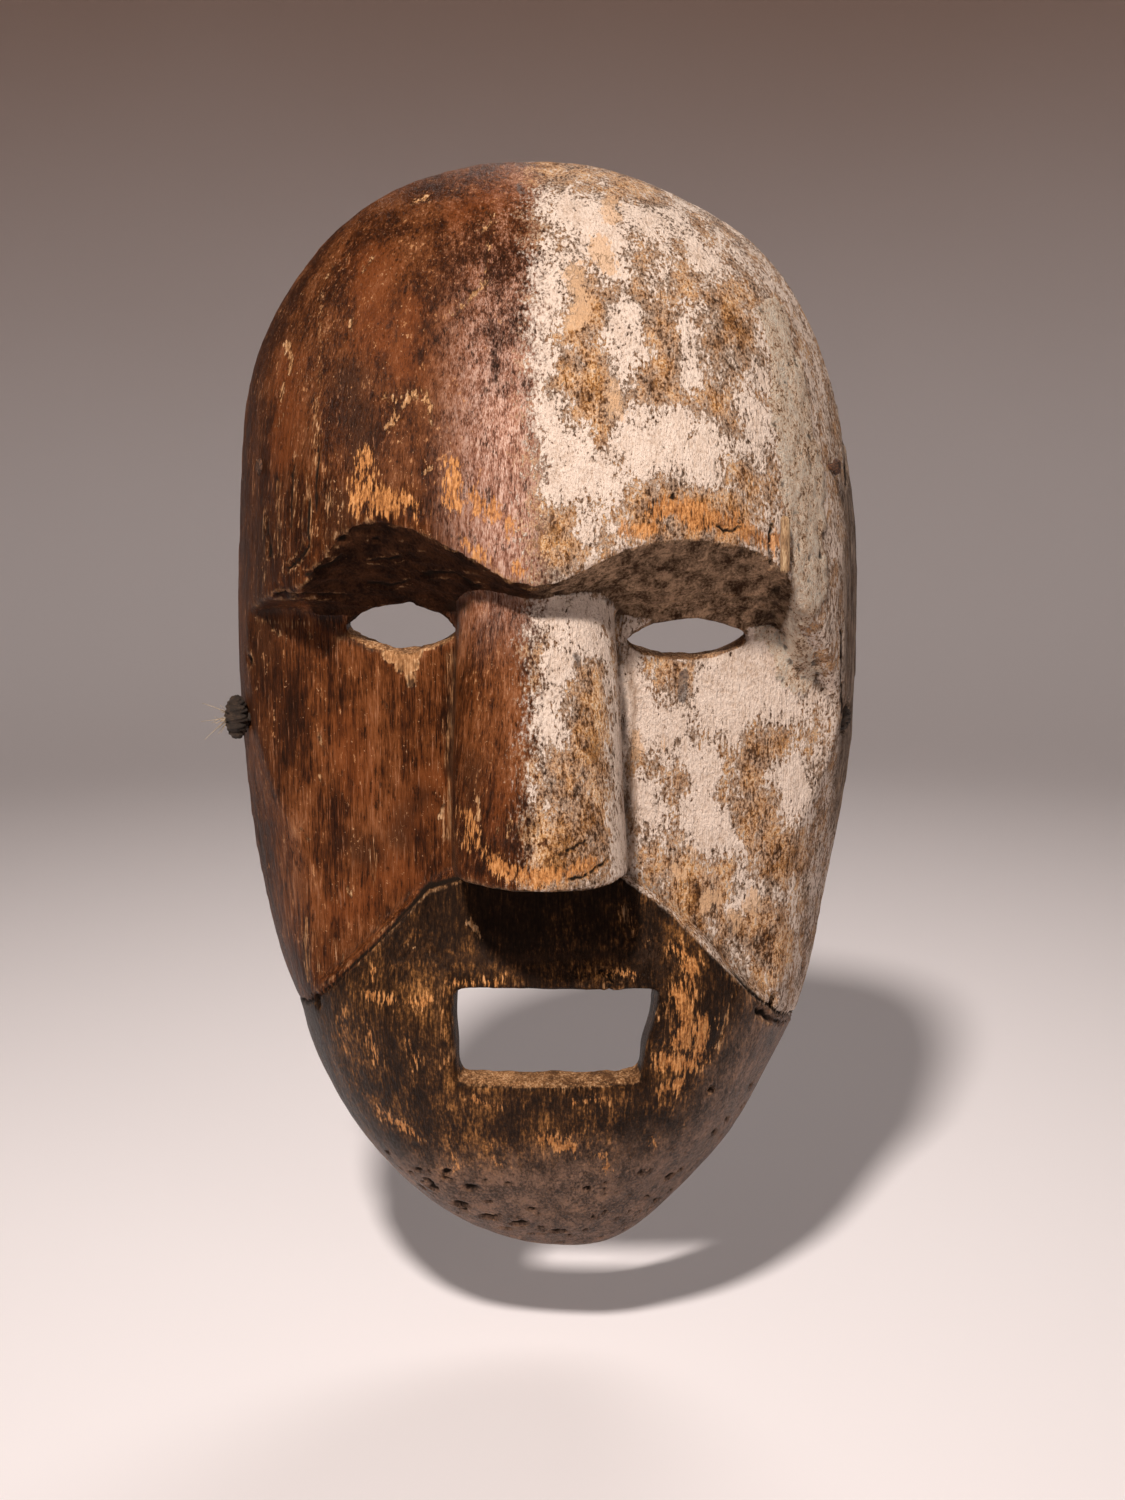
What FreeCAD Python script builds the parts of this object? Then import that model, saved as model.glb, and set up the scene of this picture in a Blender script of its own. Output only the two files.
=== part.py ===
import FreeCAD, Part
import Sketcher
import math
import os

# A carved wooden face mask, in millimetres.
#
# Frame: the flat back rim lies in the plane Y = 0 and the face looks along -Y. +Z is up and +X is
# the viewer's right. The origin is the middle of the open back.
#
# One block of wood makes the shell: a high domed forehead, an overhanging brow, flat recessed
# cheeks, a half-round nose left standing between them, and a fuller beard around a square mouth.
# The wood is hollowed from behind. A peg mends the brow, two old nails stay in the sides, and a
# knotted cord crosses the back.

Vector = FreeCAD.Vector

DIMENSIONS = (
    # the outside of the block
    ("half_width", 93.0, "half the greatest width of the block, at the rim"),
    ("waist_level", 30.0, "height of the greatest width"),
    ("crown_level", 161.0, "top of the forehead at the rim"),
    ("chin_level", -163.5, "bottom of the chin at the rim"),
    ("crown_power", 2.5, "how square the outline's upper part is, 2 is an ellipse"),
    ("jaw_power", 2.2, "how square the outline's lower part is, 2 is an ellipse"),
    ("brow_depth", 80.0, "how far the brow stands out from the rim"),
    ("brow_level", 30.0, "height below which the forehead stops curving back"),
    ("forehead_power", 1.7, "how square the forehead's profile is, 2 is an ellipse"),
    ("lip_depth", 50.0, "how far the upper lip stands out from the rim, under the nose"),
    ("lip_level", -38.0, "height where the upper lip starts"),
    ("beard_depth", 60.0, "how far the beard stands out from the rim"),
    ("beard_level", -80.0, "height below which the chin curves back"),
    ("chin_lean", 7.0, "sideways lean of the chin's tip"),
    ("crown_lean", -6.5, "sideways lean of the crown"),
    ("side_flare", 0.85, "width of the sides' front end, as a share of the half width"),
    ("side_fullness", 0.7, "depth of the sides, as a share of the depth"),
    ("front_fullness", 0.6, "width that the front stays flat, as a share of the half width"),
    # the hollow behind the face
    ("wall", 11.5, "thickness of the wood at the rim"),
    ("forehead_hollow", 62.0, "depth of the hollow behind the forehead"),
    ("cheek_hollow", 34.0, "depth of the hollow behind the cheeks and nose"),
    ("beard_hollow", 47.0, "depth of the hollow behind the mouth"),
    # the cheeks
    ("cheek_depth", 47.0, "how far the cheeks stand out from the rim beside the nose"),
    ("cheek_radius", 152.0, "radius of the cheeks' one cylindrical surface"),
    ("beard_slope", 0.15, "drop of the beard's upper edge for each millimetre forward"),
    # the nose
    ("nose_foot_level", -33.0, "height of the nose's flat underside"),
    ("nose_root_level", 52.0, "height where the nose ends inside the brow"),
    ("nose_foot_radius", 24.2, "radius of the half-round front, at the underside"),
    ("nose_root_radius", 21.0, "radius of the half-round front, at the brow"),
    ("nose_foot_reach", 88.0, "how far the nose stands out from the rim, at the underside"),
    ("nose_root_reach", 65.0, "how far the nose stands out from the rim, at the brow"),
    ("nose_foot_offset", 2.0, "how far the nose's underside lies left of the middle"),
    ("nose_root_offset", 3.7, "how far the nose's top lies left of the middle"),
    ("nose_back", 25.0, "where the nose column starts, inside the wood"),
    # the eye slits, each between two arcs
    ("left_eye_x", -41.0, "middle of the left slit"),
    ("left_eye_level", 30.9, "height of the left slit's corners"),
    ("left_eye_width", 32.5, "width of the left slit"),
    ("left_eye_rise", 7.5, "rise of its upper arc"),
    ("left_eye_drop", 5.0, "drop of its lower arc"),
    ("right_eye_x", 38.8, "middle of the right slit"),
    ("right_eye_level", 28.5, "height of the right slit's corners"),
    ("right_eye_width", 36.4, "width of the right slit"),
    ("right_eye_rise", 5.6, "rise of its upper arc"),
    ("right_eye_drop", 4.6, "drop of its lower arc"),
    # the mouth, a square hole that narrows a little inwards
    ("mouth_left", -27.5, "left edge of the mouth, at the front"),
    ("mouth_right", 30.5, "right edge of the mouth, at the front"),
    ("mouth_top", -67.8, "upper edge of the mouth, at the front"),
    ("mouth_bottom", -96.5, "lower edge of the mouth, at the front"),
    ("mouth_taper", 2.5, "how much each side of the mouth comes in towards the back"),
    ("mouth_front", -72.0, "front of the mouth's cut"),
    ("mouth_back", -30.0, "back of the mouth's cut"),
    # the holes for ties
    ("tie_radius", 2.0, "radius of the two tie holes beside the mouth"),
    ("tie_x", 66.0, "sideways place of the tie holes"),
    ("tie_y", -31.5, "depth of the tie holes"),
    ("tie_level", -79.0, "height of the tie holes"),
    ("tie_turn", 34.0, "turn of the tie holes towards the front, in degrees"),
    # the hanging cord and its holes
    ("cord_radius", 1.3, "radius of the hanging cord"),
    ("cord_hole_radius", 2.3, "radius of the cord's two holes"),
    ("cord_hole_y", -12.0, "depth of the cord's holes"),
    ("cord_hole_level", 2.0, "height of the cord's holes"),
    ("sink_radius", 5.2, "radius of the pocket that the right knot sits in"),
    ("sink_floor", 82.5, "sideways place of that pocket's floor"),
    ("left_knot_x", -92.4, "middle of the left knot"),
    ("left_knot_out", 3.6, "half the left knot's size along the cord"),
    ("left_knot_across", 4.4, "half the left knot's size front to back"),
    ("left_knot_up", 6.6, "half the left knot's height"),
    ("right_knot_size", 4.2, "half the right knot's size across the cord"),
    ("right_knot_out", 3.4, "half the right knot's size along the cord"),
    ("strand_radius", 0.3, "radius of a frayed strand"),
    ("strand_length", 6.5, "length of a frayed strand"),
    # the peg in the brow
    ("peg_x", 64.0, "sideways place of the peg"),
    ("peg_y", -59.0, "depth of the peg's lower end"),
    ("peg_base", 50.0, "height of the peg's lower end"),
    ("peg_radius", 1.3, "radius of the peg"),
    ("peg_length", 13.0, "length of the peg between its round ends"),
    ("peg_tilt", 7.0, "backward tilt of the peg, in degrees"),
    ("groove_radius", 2.2, "radius of the groove that the peg lies in"),
    # the side nails
    ("nail_head_radius", 2.6, "radius of a nail's head"),
    ("nail_head_height", 1.4, "thickness of a nail's head"),
    ("nail_shank_radius", 1.1, "radius of a nail's shank"),
    ("nail_length", 9.0, "length of a nail's shank"),
    ("nail_x", 81.0, "sideways place of a nail's head"),
    ("nail_y", -27.0, "depth of a nail's head"),
    ("nail_level", 76.0, "height of the nails"),
    ("nail_turn", 25.0, "turn of the nails towards the front, in degrees"),
)

# The brow's edge from left to right: x, how far forward the edge stands, its height, and the
# height where the hollow under it runs out on the cheek.
BROW_LINE = (
    (-100.0, 34.0, 38.0, 35.0),
    (-80.0, 41.0, 40.5, 35.5),
    (-66.0, 54.0, 44.5, 35.5),
    (-59.5, 58.0, 52.0, 35.0),
    (-53.0, 63.0, 60.0, 36.0),
    (-39.0, 70.0, 62.5, 38.5),
    (-22.5, 77.0, 56.5, 37.0),
    (-5.0, 80.0, 46.8, 39.0),
    (16.5, 77.0, 55.0, 37.0),
    (35.0, 71.0, 58.2, 34.5),
    (49.0, 64.0, 55.5, 34.0),
    (59.0, 58.0, 50.8, 32.0),
    (65.0, 53.0, 45.5, 30.5),
    (69.0, 50.0, 40.0, 20.0),
    (74.0, 45.0, 34.0, 16.0),
    (80.0, 38.0, 24.0, 10.0),
    (100.0, 34.0, 8.0, 0.0),
)

# The beard's upper edge from left to right: x and height, where it meets the cheek.
BEARD_LINE = (
    (-100.0, -103.0),
    (-84.0, -93.0),
    (-69.0, -79.5),
    (-50.0, -59.0),
    (-34.0, -41.5),
    (-22.0, -36.5),
    (0.0, -36.0),
    (20.0, -37.0),
    (33.0, -47.0),
    (50.0, -65.0),
    (67.5, -84.0),
    (84.0, -101.0),
    (100.0, -116.0),
)

# The cord's route from the left hole to the right one: x, y and height.
CORD_ROUTE = (
    (-89.0, -12.0, 2.0),
    (-69.0, -12.0, 1.4),
    (-46.0, -11.0, -12.5),
    (-19.0, -9.5, -19.5),
    (10.0, -9.0, -19.0),
    (37.0, -10.5, -12.5),
    (60.0, -12.0, -1.0),
    (83.0, -12.0, 2.0),
)

# Each frayed strand's turn about the cord and about the face's forward axis, in degrees.
STRANDS = ((20.0, 35.0), (75.0, 60.0), (150.0, 50.0), (205.0, 30.0), (290.0, 65.0))

BEHIND = 6.0          # how far cutters reach behind the rim
SLIT_BACK = -5.0      # where the eye slits' cutters end, inside the hollow
CLEAR = 30.0          # how far cutters reach past the wood elsewhere
BROW_BLEND = (42.0, 74.0)     # levels between which the hollow deepens behind the forehead
BEARD_BLEND = (-45.0, -80.0)  # levels between which the hollow deepens behind the mouth
RECESS_FRONT = 115.0  # front plane of the cheeks' cutter
RECESS_BACK = 20.0    # back plane of the cheeks' cutter
ARC_SHARE = 0.45      # share of the shorter run that an arc of the cord takes

doc = FreeCAD.newDocument("carved_wooden_mask")


def make_sheet():
    """The spreadsheet that drives the model."""
    made = doc.addObject("Spreadsheet::Sheet", "dims")
    for row, (alias, value, meaning) in enumerate(DIMENSIONS, start=1):
        made.set(f"A{row}", meaning)
        made.set(f"B{row}", str(value))
        made.setAlias(f"B{row}", alias)
    doc.recompute()
    return made


sheet = make_sheet()


def size(alias):
    """A driving dimension, read from the sheet."""
    return float(sheet.get(alias))


def new(kind, label, place=None, **expressions):
    """A document object with its sizes bound to the sheet."""
    made = doc.addObject(kind, label)
    made.Label = label
    for name, expression in expressions.items():
        made.setExpression(name, expression)
    if place is not None:
        made.Placement = place
    return made


def bind_place(made, x="0", y="0", z="0"):
    """Binds an object's position to the sheet."""
    for axis, expression in (("x", x), ("y", y), ("z", z)):
        made.setExpression("Placement.Base." + axis, expression)
    return made


def join(label, pieces):
    """Several shapes fused into one."""
    made = new("Part::MultiFuse", label)
    made.Shapes = pieces
    return made


def cut(label, base, tool):
    """One shape less another."""
    made = new("Part::Cut", label)
    made.Base = base
    made.Tool = tool
    return made


def overlap(label, first, second):
    """What two shapes share."""
    made = new("Part::MultiCommon", label)
    made.Shapes = [first, second]
    return made


def computed(label, shape):
    """A shape worked out below from the sheet's sizes."""
    made = doc.addObject("Part::Feature", label)
    made.Label = label
    made.Shape = shape
    made.Placement = FreeCAD.Placement()
    return made


# ---- the block and the hollow: lofts through level sections ----

def rounded(share, power):
    """Height of a superellipse of size 1 at a distance of share from its middle."""
    return max(0.0, 1.0 - abs(share) ** power) ** (1.0 / power)


def smooth(share):
    """0 to 1 with a soft start and end."""
    share = min(1.0, max(0.0, share))
    return share * share * (3.0 - 2.0 * share)


def outline(level, inset):
    """Half the width at a level, for a shell inset by that much from the outside."""
    waist = size("waist_level")
    if level > waist:
        share = (level - waist) / (size("crown_level") - inset - waist)
        power = size("crown_power")
    else:
        share = (waist - level) / (waist - size("chin_level") - inset)
        power = size("jaw_power")
    return (size("half_width") - inset) * rounded(share, power)


def block_depth(level):
    """How far the uncarved block stands out from the rim at a level."""
    brow, lip, beard = size("brow_level"), size("lip_level"), size("beard_level")
    if level > brow:
        share = (level - brow) / (size("crown_level") - brow)
        return size("brow_depth") * rounded(share, size("forehead_power"))
    if level < beard:
        share = (beard - level) / (beard - size("chin_level"))
        return size("beard_depth") * rounded(share, 2.0)
    if level > lip:
        share = smooth((level - lip) / (brow - lip))
        return size("lip_depth") + share * (size("brow_depth") - size("lip_depth"))
    share = smooth((lip - level) / (lip - beard))
    return size("lip_depth") + share * (size("beard_depth") - size("lip_depth"))


def hollow_depth(level):
    """How deep the hollow is at a level: deep behind forehead and mouth, shallow behind the cheeks."""
    brow_start, brow_end = BROW_BLEND
    beard_start, beard_end = BEARD_BLEND
    cheek = size("cheek_hollow")
    if level > brow_start:
        top = size("crown_level") - size("wall")
        forehead = size("forehead_hollow") * rounded(
            (level - brow_start) / (top - brow_start), size("forehead_power"))
        share = smooth((level - brow_start) / (brow_end - brow_start))
        return cheek + share * (forehead - cheek) if level < brow_end else forehead
    if level < beard_start:
        foot = size("chin_level") + size("wall")
        chin = size("beard_hollow") * rounded((size("beard_level") - level)
                                              / (size("beard_level") - foot), 2.0)
        chin = chin if level < size("beard_level") else size("beard_hollow")
        share = smooth((beard_start - level) / (beard_start - beard_end))
        return cheek + share * (chin - cheek)
    return cheek


def lean(level):
    """Sideways shift of the middle line, which grows towards the crown and the chin."""
    waist = size("waist_level")
    if level > waist:
        share = (level - waist) / (size("crown_level") - waist)
        return size("crown_lean") * share ** 2
    share = (waist - level) / (waist - size("chin_level"))
    return size("chin_lean") * share ** 10


def section(level, half, depth, middle):
    """A level section: straight across the back, two curves round the front."""
    side = size("side_fullness") * depth
    flat = size("front_fullness") * half
    tip = Vector(middle, -depth, level)
    edges = []
    for turn in (1.0, -1.0):
        poles = [
            Vector(middle + turn * half, BEHIND, level),
            Vector(middle + turn * half * size("side_flare"), -side, level),
            Vector(middle + turn * flat, -depth, level),
            tip,
        ]
        curve = Part.BezierCurve()
        curve.setPoles(poles if turn > 0 else poles[::-1])
        edges.append(curve.toShape())
    edges.append(Part.makeLine(Vector(middle - half, BEHIND, level),
                               Vector(middle + half, BEHIND, level)))
    return Part.Wire(edges)


def levels(low, high, count):
    """Levels from low to high, closer together at both ends, stopping just short of them."""
    short = 0.012
    middle, reach = (low + high) / 2.0, (high - low) / 2.0
    steps = [short + (1.0 - 2.0 * short) * i / (count - 1) for i in range(count)]
    return [middle - reach * math.cos(math.pi * step) for step in steps]


def block_shape():
    """The outside of the mask before any carving."""
    stations = levels(size("chin_level"), size("crown_level"), 21)
    wires = [section(z, outline(z, 0.0), block_depth(z), lean(z)) for z in stations]
    return Part.makeLoft(wires, True, False)


def hollow_shape():
    """The hollow behind the face."""
    inset = size("wall")
    stations = levels(size("chin_level") + inset, size("crown_level") - inset, 23)
    wires = [section(z, outline(z, inset), hollow_depth(z), lean(z)) for z in stations]
    return Part.makeLoft(wires, True, False)


# ---- the recess of eyes and cheeks ----

def cheek_at(x):
    """How far the cheeks stand out from the rim at x."""
    radius = size("cheek_radius")
    return size("cheek_depth") - radius + math.sqrt(radius * radius - x * x)


def recess_wire(plane):
    """The recess's outline at a distance of plane in front of the rim."""
    brow = []
    for x, edge_out, edge_level, root_level in BROW_LINE:
        root_out = min(cheek_at(x), edge_out - 4.0)
        slope = (edge_level - root_level) / (edge_out - root_out)
        brow.append(Vector(x, -plane, root_level + slope * (plane - root_out)))
    beard = []
    for x, level in BEARD_LINE:
        drop = size("beard_slope") * (plane - size("cheek_depth"))
        beard.append(Vector(x, -plane, level - drop))
    return Part.Wire([
        curve_across(brow),
        Part.makeLine(brow[-1], beard[-1]),
        curve_across(beard),
        Part.makeLine(beard[0], brow[0]),
    ])


def curve_across(points):
    """A smooth curve from left to right, which runs evenly in x so that two of them pair up."""
    curve = Part.BSplineCurve()
    curve.interpolate(Points=points, Parameters=[point.x for point in points])
    return curve.toShape()


def recess_shape():
    """A ruled solid between the brow above and the beard below."""
    return Part.makeLoft([recess_wire(RECESS_BACK), recess_wire(RECESS_FRONT)], True, True)


# ---- the nose ----

def nose_sketch(body, name, end):
    """The nose's level outline at one end: straight sides and a half-round front."""
    radius = size(f"nose_{end}_radius")
    centre = radius - size(f"nose_{end}_reach")
    back = -size("nose_back")
    sketch = body.newObject("Sketcher::SketchObject", name)
    plane = next(f for f in body.Origin.OriginFeatures if f.Role == "XY_Plane")
    sketch.AttachmentSupport = (plane, [""])
    sketch.MapMode = "FlatFace"
    sketch.setExpression("AttachmentOffset.Base.z", f"dims.nose_{end}_level")
    left, right = Vector(-radius, centre, 0), Vector(radius, centre, 0)
    left_back, right_back = Vector(-radius, back, 0), Vector(radius, back, 0)
    circle = Part.Circle(Vector(0, centre, 0), Vector(0, 0, 1), radius)
    sketch.addGeometry(Part.LineSegment(left_back, left))
    sketch.addGeometry(Part.ArcOfCircle(circle, math.pi, 2.0 * math.pi))
    sketch.addGeometry(Part.LineSegment(right, right_back))
    sketch.addGeometry(Part.LineSegment(right_back, left_back))
    add_constraint(sketch, "Tangent", 0, 2, 1, 1)
    add_constraint(sketch, "Tangent", 1, 2, 2, 1)
    add_constraint(sketch, "Coincident", 2, 2, 3, 1)
    add_constraint(sketch, "Coincident", 3, 2, 0, 1)
    add_constraint(sketch, "Vertical", 0)
    add_constraint(sketch, "Vertical", 2)
    add_constraint(sketch, "Horizontal", 3)
    bound = (
        ("Radius", (1, radius), f"dims.nose_{end}_radius"),
        ("DistanceX", (1, 3, -1, 1, size(f"nose_{end}_offset")), f"dims.nose_{end}_offset"),
        ("DistanceY", (1, 3, -1, 1, -centre), f"dims.nose_{end}_reach - dims.nose_{end}_radius"),
        ("DistanceY", (0, 1, -1, 1, -back), "dims.nose_back"),
    )
    for kind, values, expression in bound:
        index = add_constraint(sketch, kind, *values)
        sketch.setExpression(f"Constraints[{index}]", expression)
    return sketch


def add_constraint(sketch, *values):
    """Adds one sketch constraint and returns its number."""
    return sketch.addConstraint(Sketcher.Constraint(*values))


def make_nose():
    """The nose, a column that grows outwards towards its flat underside."""
    body = doc.addObject("PartDesign::Body", "nose_column")
    foot = nose_sketch(body, "nose_foot", "foot")
    root = nose_sketch(body, "nose_root", "root")
    column = body.newObject("PartDesign::AdditiveLoft", "nose_loft")
    column.Profile = foot
    column.Sections = [root]
    return body


# ---- openings ----

TURN_TO_X = FreeCAD.Rotation(Vector(0, 1, 0), 90)
TURN_TO_Y = FreeCAD.Rotation(Vector(1, 0, 0), 90)


def make_eye_slit(side):
    """An eye slit: what two lying cylinders share, one for the upper arc and one for the lower."""
    name = f"dims.{side}_eye_"
    arcs = []
    for arc, sign in (("rise", "-"), ("drop", "+")):
        radius = f"(({name}width / 2)^2 + {name}{arc}^2) / (2 * {name}{arc})"
        away = "+" if sign == "-" else "-"
        cylinder = new("Part::Cylinder", f"{side}_eye_{arc}_arc",
                       FreeCAD.Placement(Vector(), TURN_TO_Y), Radius=radius)
        cylinder.Height = RECESS_FRONT
        bind_place(cylinder, x=f"{name}x", y=str(SLIT_BACK),
                   z=f"{name}level {away} {name}{arc} {sign} {radius}")
        arcs.append(cylinder)
    return overlap(f"{side}_eye_slit", *arcs)


def make_mouth():
    """The mouth's square hole, narrower at the back."""
    taper = "dims.mouth_taper"
    return new(
        "Part::Wedge", "mouth_hole",
        Xmin="dims.mouth_left", Xmax="dims.mouth_right",
        Zmin="dims.mouth_bottom", Zmax="dims.mouth_top",
        Ymin="dims.mouth_front", Ymax="dims.mouth_back",
        X2min=f"dims.mouth_left + {taper}", X2max=f"dims.mouth_right - {taper}",
        Z2min=f"dims.mouth_bottom + {taper}", Z2max=f"dims.mouth_top - {taper}",
    )


def make_tie_hole(side, sign):
    """A tie hole, which runs in square to the side of the beard."""
    turn = FreeCAD.Rotation(Vector(0, 0, 1), -sign * size("tie_turn"))
    made = new("Part::Cylinder", f"tie_hole_{side}", FreeCAD.Placement(Vector(), turn * TURN_TO_X),
               Radius="dims.tie_radius")
    made.Height = 2 * CLEAR
    inwards = turn.multVec(Vector(-CLEAR, 0, 0))
    return bind_place(made, x=f"{sign} * dims.tie_x + {inwards.x}", y=f"dims.tie_y + {inwards.y}",
                      z="dims.tie_level")


def make_cord_hole():
    """The cord's holes, one drilling through both sides."""
    made = new("Part::Cylinder", "cord_hole", FreeCAD.Placement(Vector(), TURN_TO_X),
               Radius="dims.cord_hole_radius", Height="2 * dims.half_width + 20")
    return bind_place(made, x="-dims.half_width - 10", y="dims.cord_hole_y",
                      z="dims.cord_hole_level")


def make_knot_pocket():
    """The pocket in the right side that hides the right knot."""
    made = new("Part::Cylinder", "knot_pocket", FreeCAD.Placement(Vector(), TURN_TO_X),
               Radius="dims.sink_radius")
    made.Height = CLEAR
    return bind_place(made, x="dims.sink_floor", y="dims.cord_hole_y", z="dims.cord_hole_level")


# ---- small pieces ----

def make_stick(label, radius):
    """A round-ended stick, upright in the brow."""
    rod = new("Part::Cylinder", f"{label}_rod", Radius=radius, Height="dims.peg_length")
    foot = new("Part::Sphere", f"{label}_foot", Radius=radius)
    top = new("Part::Sphere", f"{label}_top", Radius=radius)
    bind_place(top, z="dims.peg_length")
    made = join(label, [rod, foot, top])
    turn = FreeCAD.Rotation(Vector(1, 0, 0), -size("peg_tilt"))
    made.Placement = FreeCAD.Placement(Vector(), turn)
    return made


def make_peg():
    """The peg in the brow, and the wider groove that it lies against the left side of."""
    peg = make_stick("brow_peg", "dims.peg_radius")
    bind_place(peg, x="dims.peg_x", y="dims.peg_y", z="dims.peg_base")
    groove = make_stick("peg_groove", "dims.groove_radius")
    bind_place(groove, x="dims.peg_x + dims.groove_radius - dims.peg_radius", y="dims.peg_y",
               z="dims.peg_base")
    return peg, groove


def make_nail(side, sign):
    """An iron nail: a shank and a low head, square to the side of the forehead."""
    turn = FreeCAD.Rotation(Vector(0, 0, 1), -size("nail_turn"))
    if sign < 0:
        turn = FreeCAD.Rotation(Vector(0, 0, 1), 180 + size("nail_turn"))
    shank = new("Part::Cylinder", f"nail_{side}_shank",
                Radius="dims.nail_shank_radius", Height="dims.nail_length")
    bind_place(shank, z="-dims.nail_length")
    head = new("Part::Cone", f"nail_{side}_head", Radius1="dims.nail_head_radius",
               Radius2="0.7 * dims.nail_head_radius", Height="dims.nail_head_height")
    made = join(f"side_nail_{side}", [shank, head])
    made.Placement = FreeCAD.Placement(Vector(), turn * TURN_TO_X)
    return bind_place(made, x=f"{sign} * dims.nail_x", y="dims.nail_y", z="dims.nail_level")


def make_knot(label, x, along, across, up):
    """A knot: an egg-shaped lump around the cord's end."""
    made = new("Part::Ellipsoid", label, Radius1=up, Radius2=along, Radius3=across)
    return bind_place(made, x=x, y="dims.cord_hole_y", z="dims.cord_hole_level")


def make_fray(knot):
    """The frayed end: thin strands that leave the left knot."""
    strands = []
    for number, (about_cord, opening) in enumerate(STRANDS, start=1):
        turn = (FreeCAD.Rotation(Vector(1, 0, 0), about_cord)
                * FreeCAD.Rotation(Vector(0, 1, 0), -opening))
        strand = new("Part::Cylinder", f"strand_{number}", FreeCAD.Placement(Vector(), turn),
                     Radius="dims.strand_radius", Height="dims.strand_length")
        strands.append(bind_place(strand, x="dims.left_knot_x - 0.5", y="dims.cord_hole_y",
                                  z="dims.cord_hole_level"))
    bundle = new("Part::Compound", "strand_bundle")
    bundle.Links = strands
    return cut("cord_fray_left", bundle, knot)


def cord_path(points):
    """Straight runs joined by tangent arcs, as large as the runs beside them allow."""
    edges, start = [], points[0]
    for before, corner, after in zip(points, points[1:], points[2:]):
        back, ahead = (before - corner), (after - corner)
        reach = ARC_SHARE * min(back.Length, ahead.Length)
        turn = math.pi - back.getAngle(ahead)
        radius = reach / math.tan(turn / 2.0)
        first = corner + back.normalize() * reach
        last = corner + ahead.normalize() * reach
        bisector = (back + ahead).normalize()
        mid = corner + bisector * (radius / math.cos(turn / 2.0) - radius)
        edges.append(Part.LineSegment(start, first).toShape())
        edges.append(Part.Arc(first, mid, last).toShape())
        print(f"cord arc radius {radius:.1f} mm, turn {math.degrees(turn):.0f} degrees")
        start = last
    edges.append(Part.LineSegment(start, points[-1]).toShape())
    return Part.Wire(edges)


def cord_shape():
    """The cord's tube along its route."""
    points = [Vector(*point) for point in CORD_ROUTE]
    path = cord_path(points)
    circle = Part.Circle(points[0], points[1] - points[0], size("cord_radius"))
    tube = path.makePipeShell([Part.Wire([circle.toShape()])], True, False)
    expected = math.pi * size("cord_radius") ** 2 * path.Length
    print(f"cord length {path.Length:.1f} mm, volume {tube.Volume / expected:.4f} of expected")
    return tube


# ---- the whole mask ----

def make_mask():
    """Makes every sub-part and returns them."""
    block = computed("block", block_shape())
    recess_blank = computed("recess_blank", recess_shape())
    hollow = computed("hollow", hollow_shape())

    behind = new("Part::Box", "behind_rim", Length="4 * dims.half_width",
                 Width="2 * dims.half_width", Height="2 * (dims.crown_level - dims.chin_level)")
    bind_place(behind, x="-2 * dims.half_width", z="2 * dims.chin_level")

    cheek_core = new("Part::Cylinder", "cheek_core", Radius="dims.cheek_radius",
                     Height="2 * (dims.crown_level - dims.chin_level)")
    bind_place(cheek_core, y="dims.cheek_radius - dims.cheek_depth", z="2 * dims.chin_level")
    recess = cut("recess", recess_blank, cheek_core)

    peg, groove = make_peg()
    nails = [make_nail("left", -1), make_nail("right", 1)]

    carved = cut("carved_front", block, recess)
    with_nose = join("front_with_nose", [carved, make_nose()])
    openings = [
        hollow, behind, make_eye_slit("left"), make_eye_slit("right"), make_mouth(),
        make_tie_hole("left", -1), make_tie_hole("right", 1), make_cord_hole(),
        make_knot_pocket(), groove, *nails,
    ]
    shell = with_nose
    for number, opening in enumerate(openings, start=1):
        last = number == len(openings)
        shell = cut("mask_shell" if last else f"carving_step_{number}", shell, opening)

    cord = computed("hanging_cord", cord_shape())
    left_knot_blank = make_knot("left_knot_blank", "dims.left_knot_x", "dims.left_knot_out",
                                "dims.left_knot_across", "dims.left_knot_up")
    left_knot_off_wood = cut("left_knot_off_wood", left_knot_blank, shell)
    left_knot = cut("cord_knot_left", left_knot_off_wood, cord)
    right_knot_blank = make_knot("right_knot_blank", "dims.sink_floor + dims.right_knot_out",
                                 "dims.right_knot_out", "dims.right_knot_size",
                                 "dims.right_knot_size")
    right_knot = cut("cord_knot_right", right_knot_blank, cord)
    fray = make_fray(left_knot_blank)
    return [shell, peg, *nails, cord, left_knot, right_knot, fray]


def check(parts):
    """Stops on any failed object or unsound shape."""
    for made in doc.Objects:
        if "Invalid" in made.State or "Error" in made.State:
            raise SystemExit(f"{made.Label} failed: {made.State}")
    for made in parts:
        shape = made.Shape
        if shape.isNull() or not shape.isValid() or not shape.Solids:
            raise SystemExit(f"{made.Label} has no valid shape")
        print(f"{made.Label}: {len(shape.Solids)} solid(s), {shape.Volume / 1000.0:.2f} cm3")


sub_parts = make_mask()
doc.recompute()
check(sub_parts)
os.makedirs("parts", exist_ok=True)
for sub_part in sub_parts:
    sub_part.Shape.exportStep(f"parts/{sub_part.Label}.step")
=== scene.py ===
import math

import bpy
import numpy as np
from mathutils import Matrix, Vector
from mathutils.bvhtree import BVHTree


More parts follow.
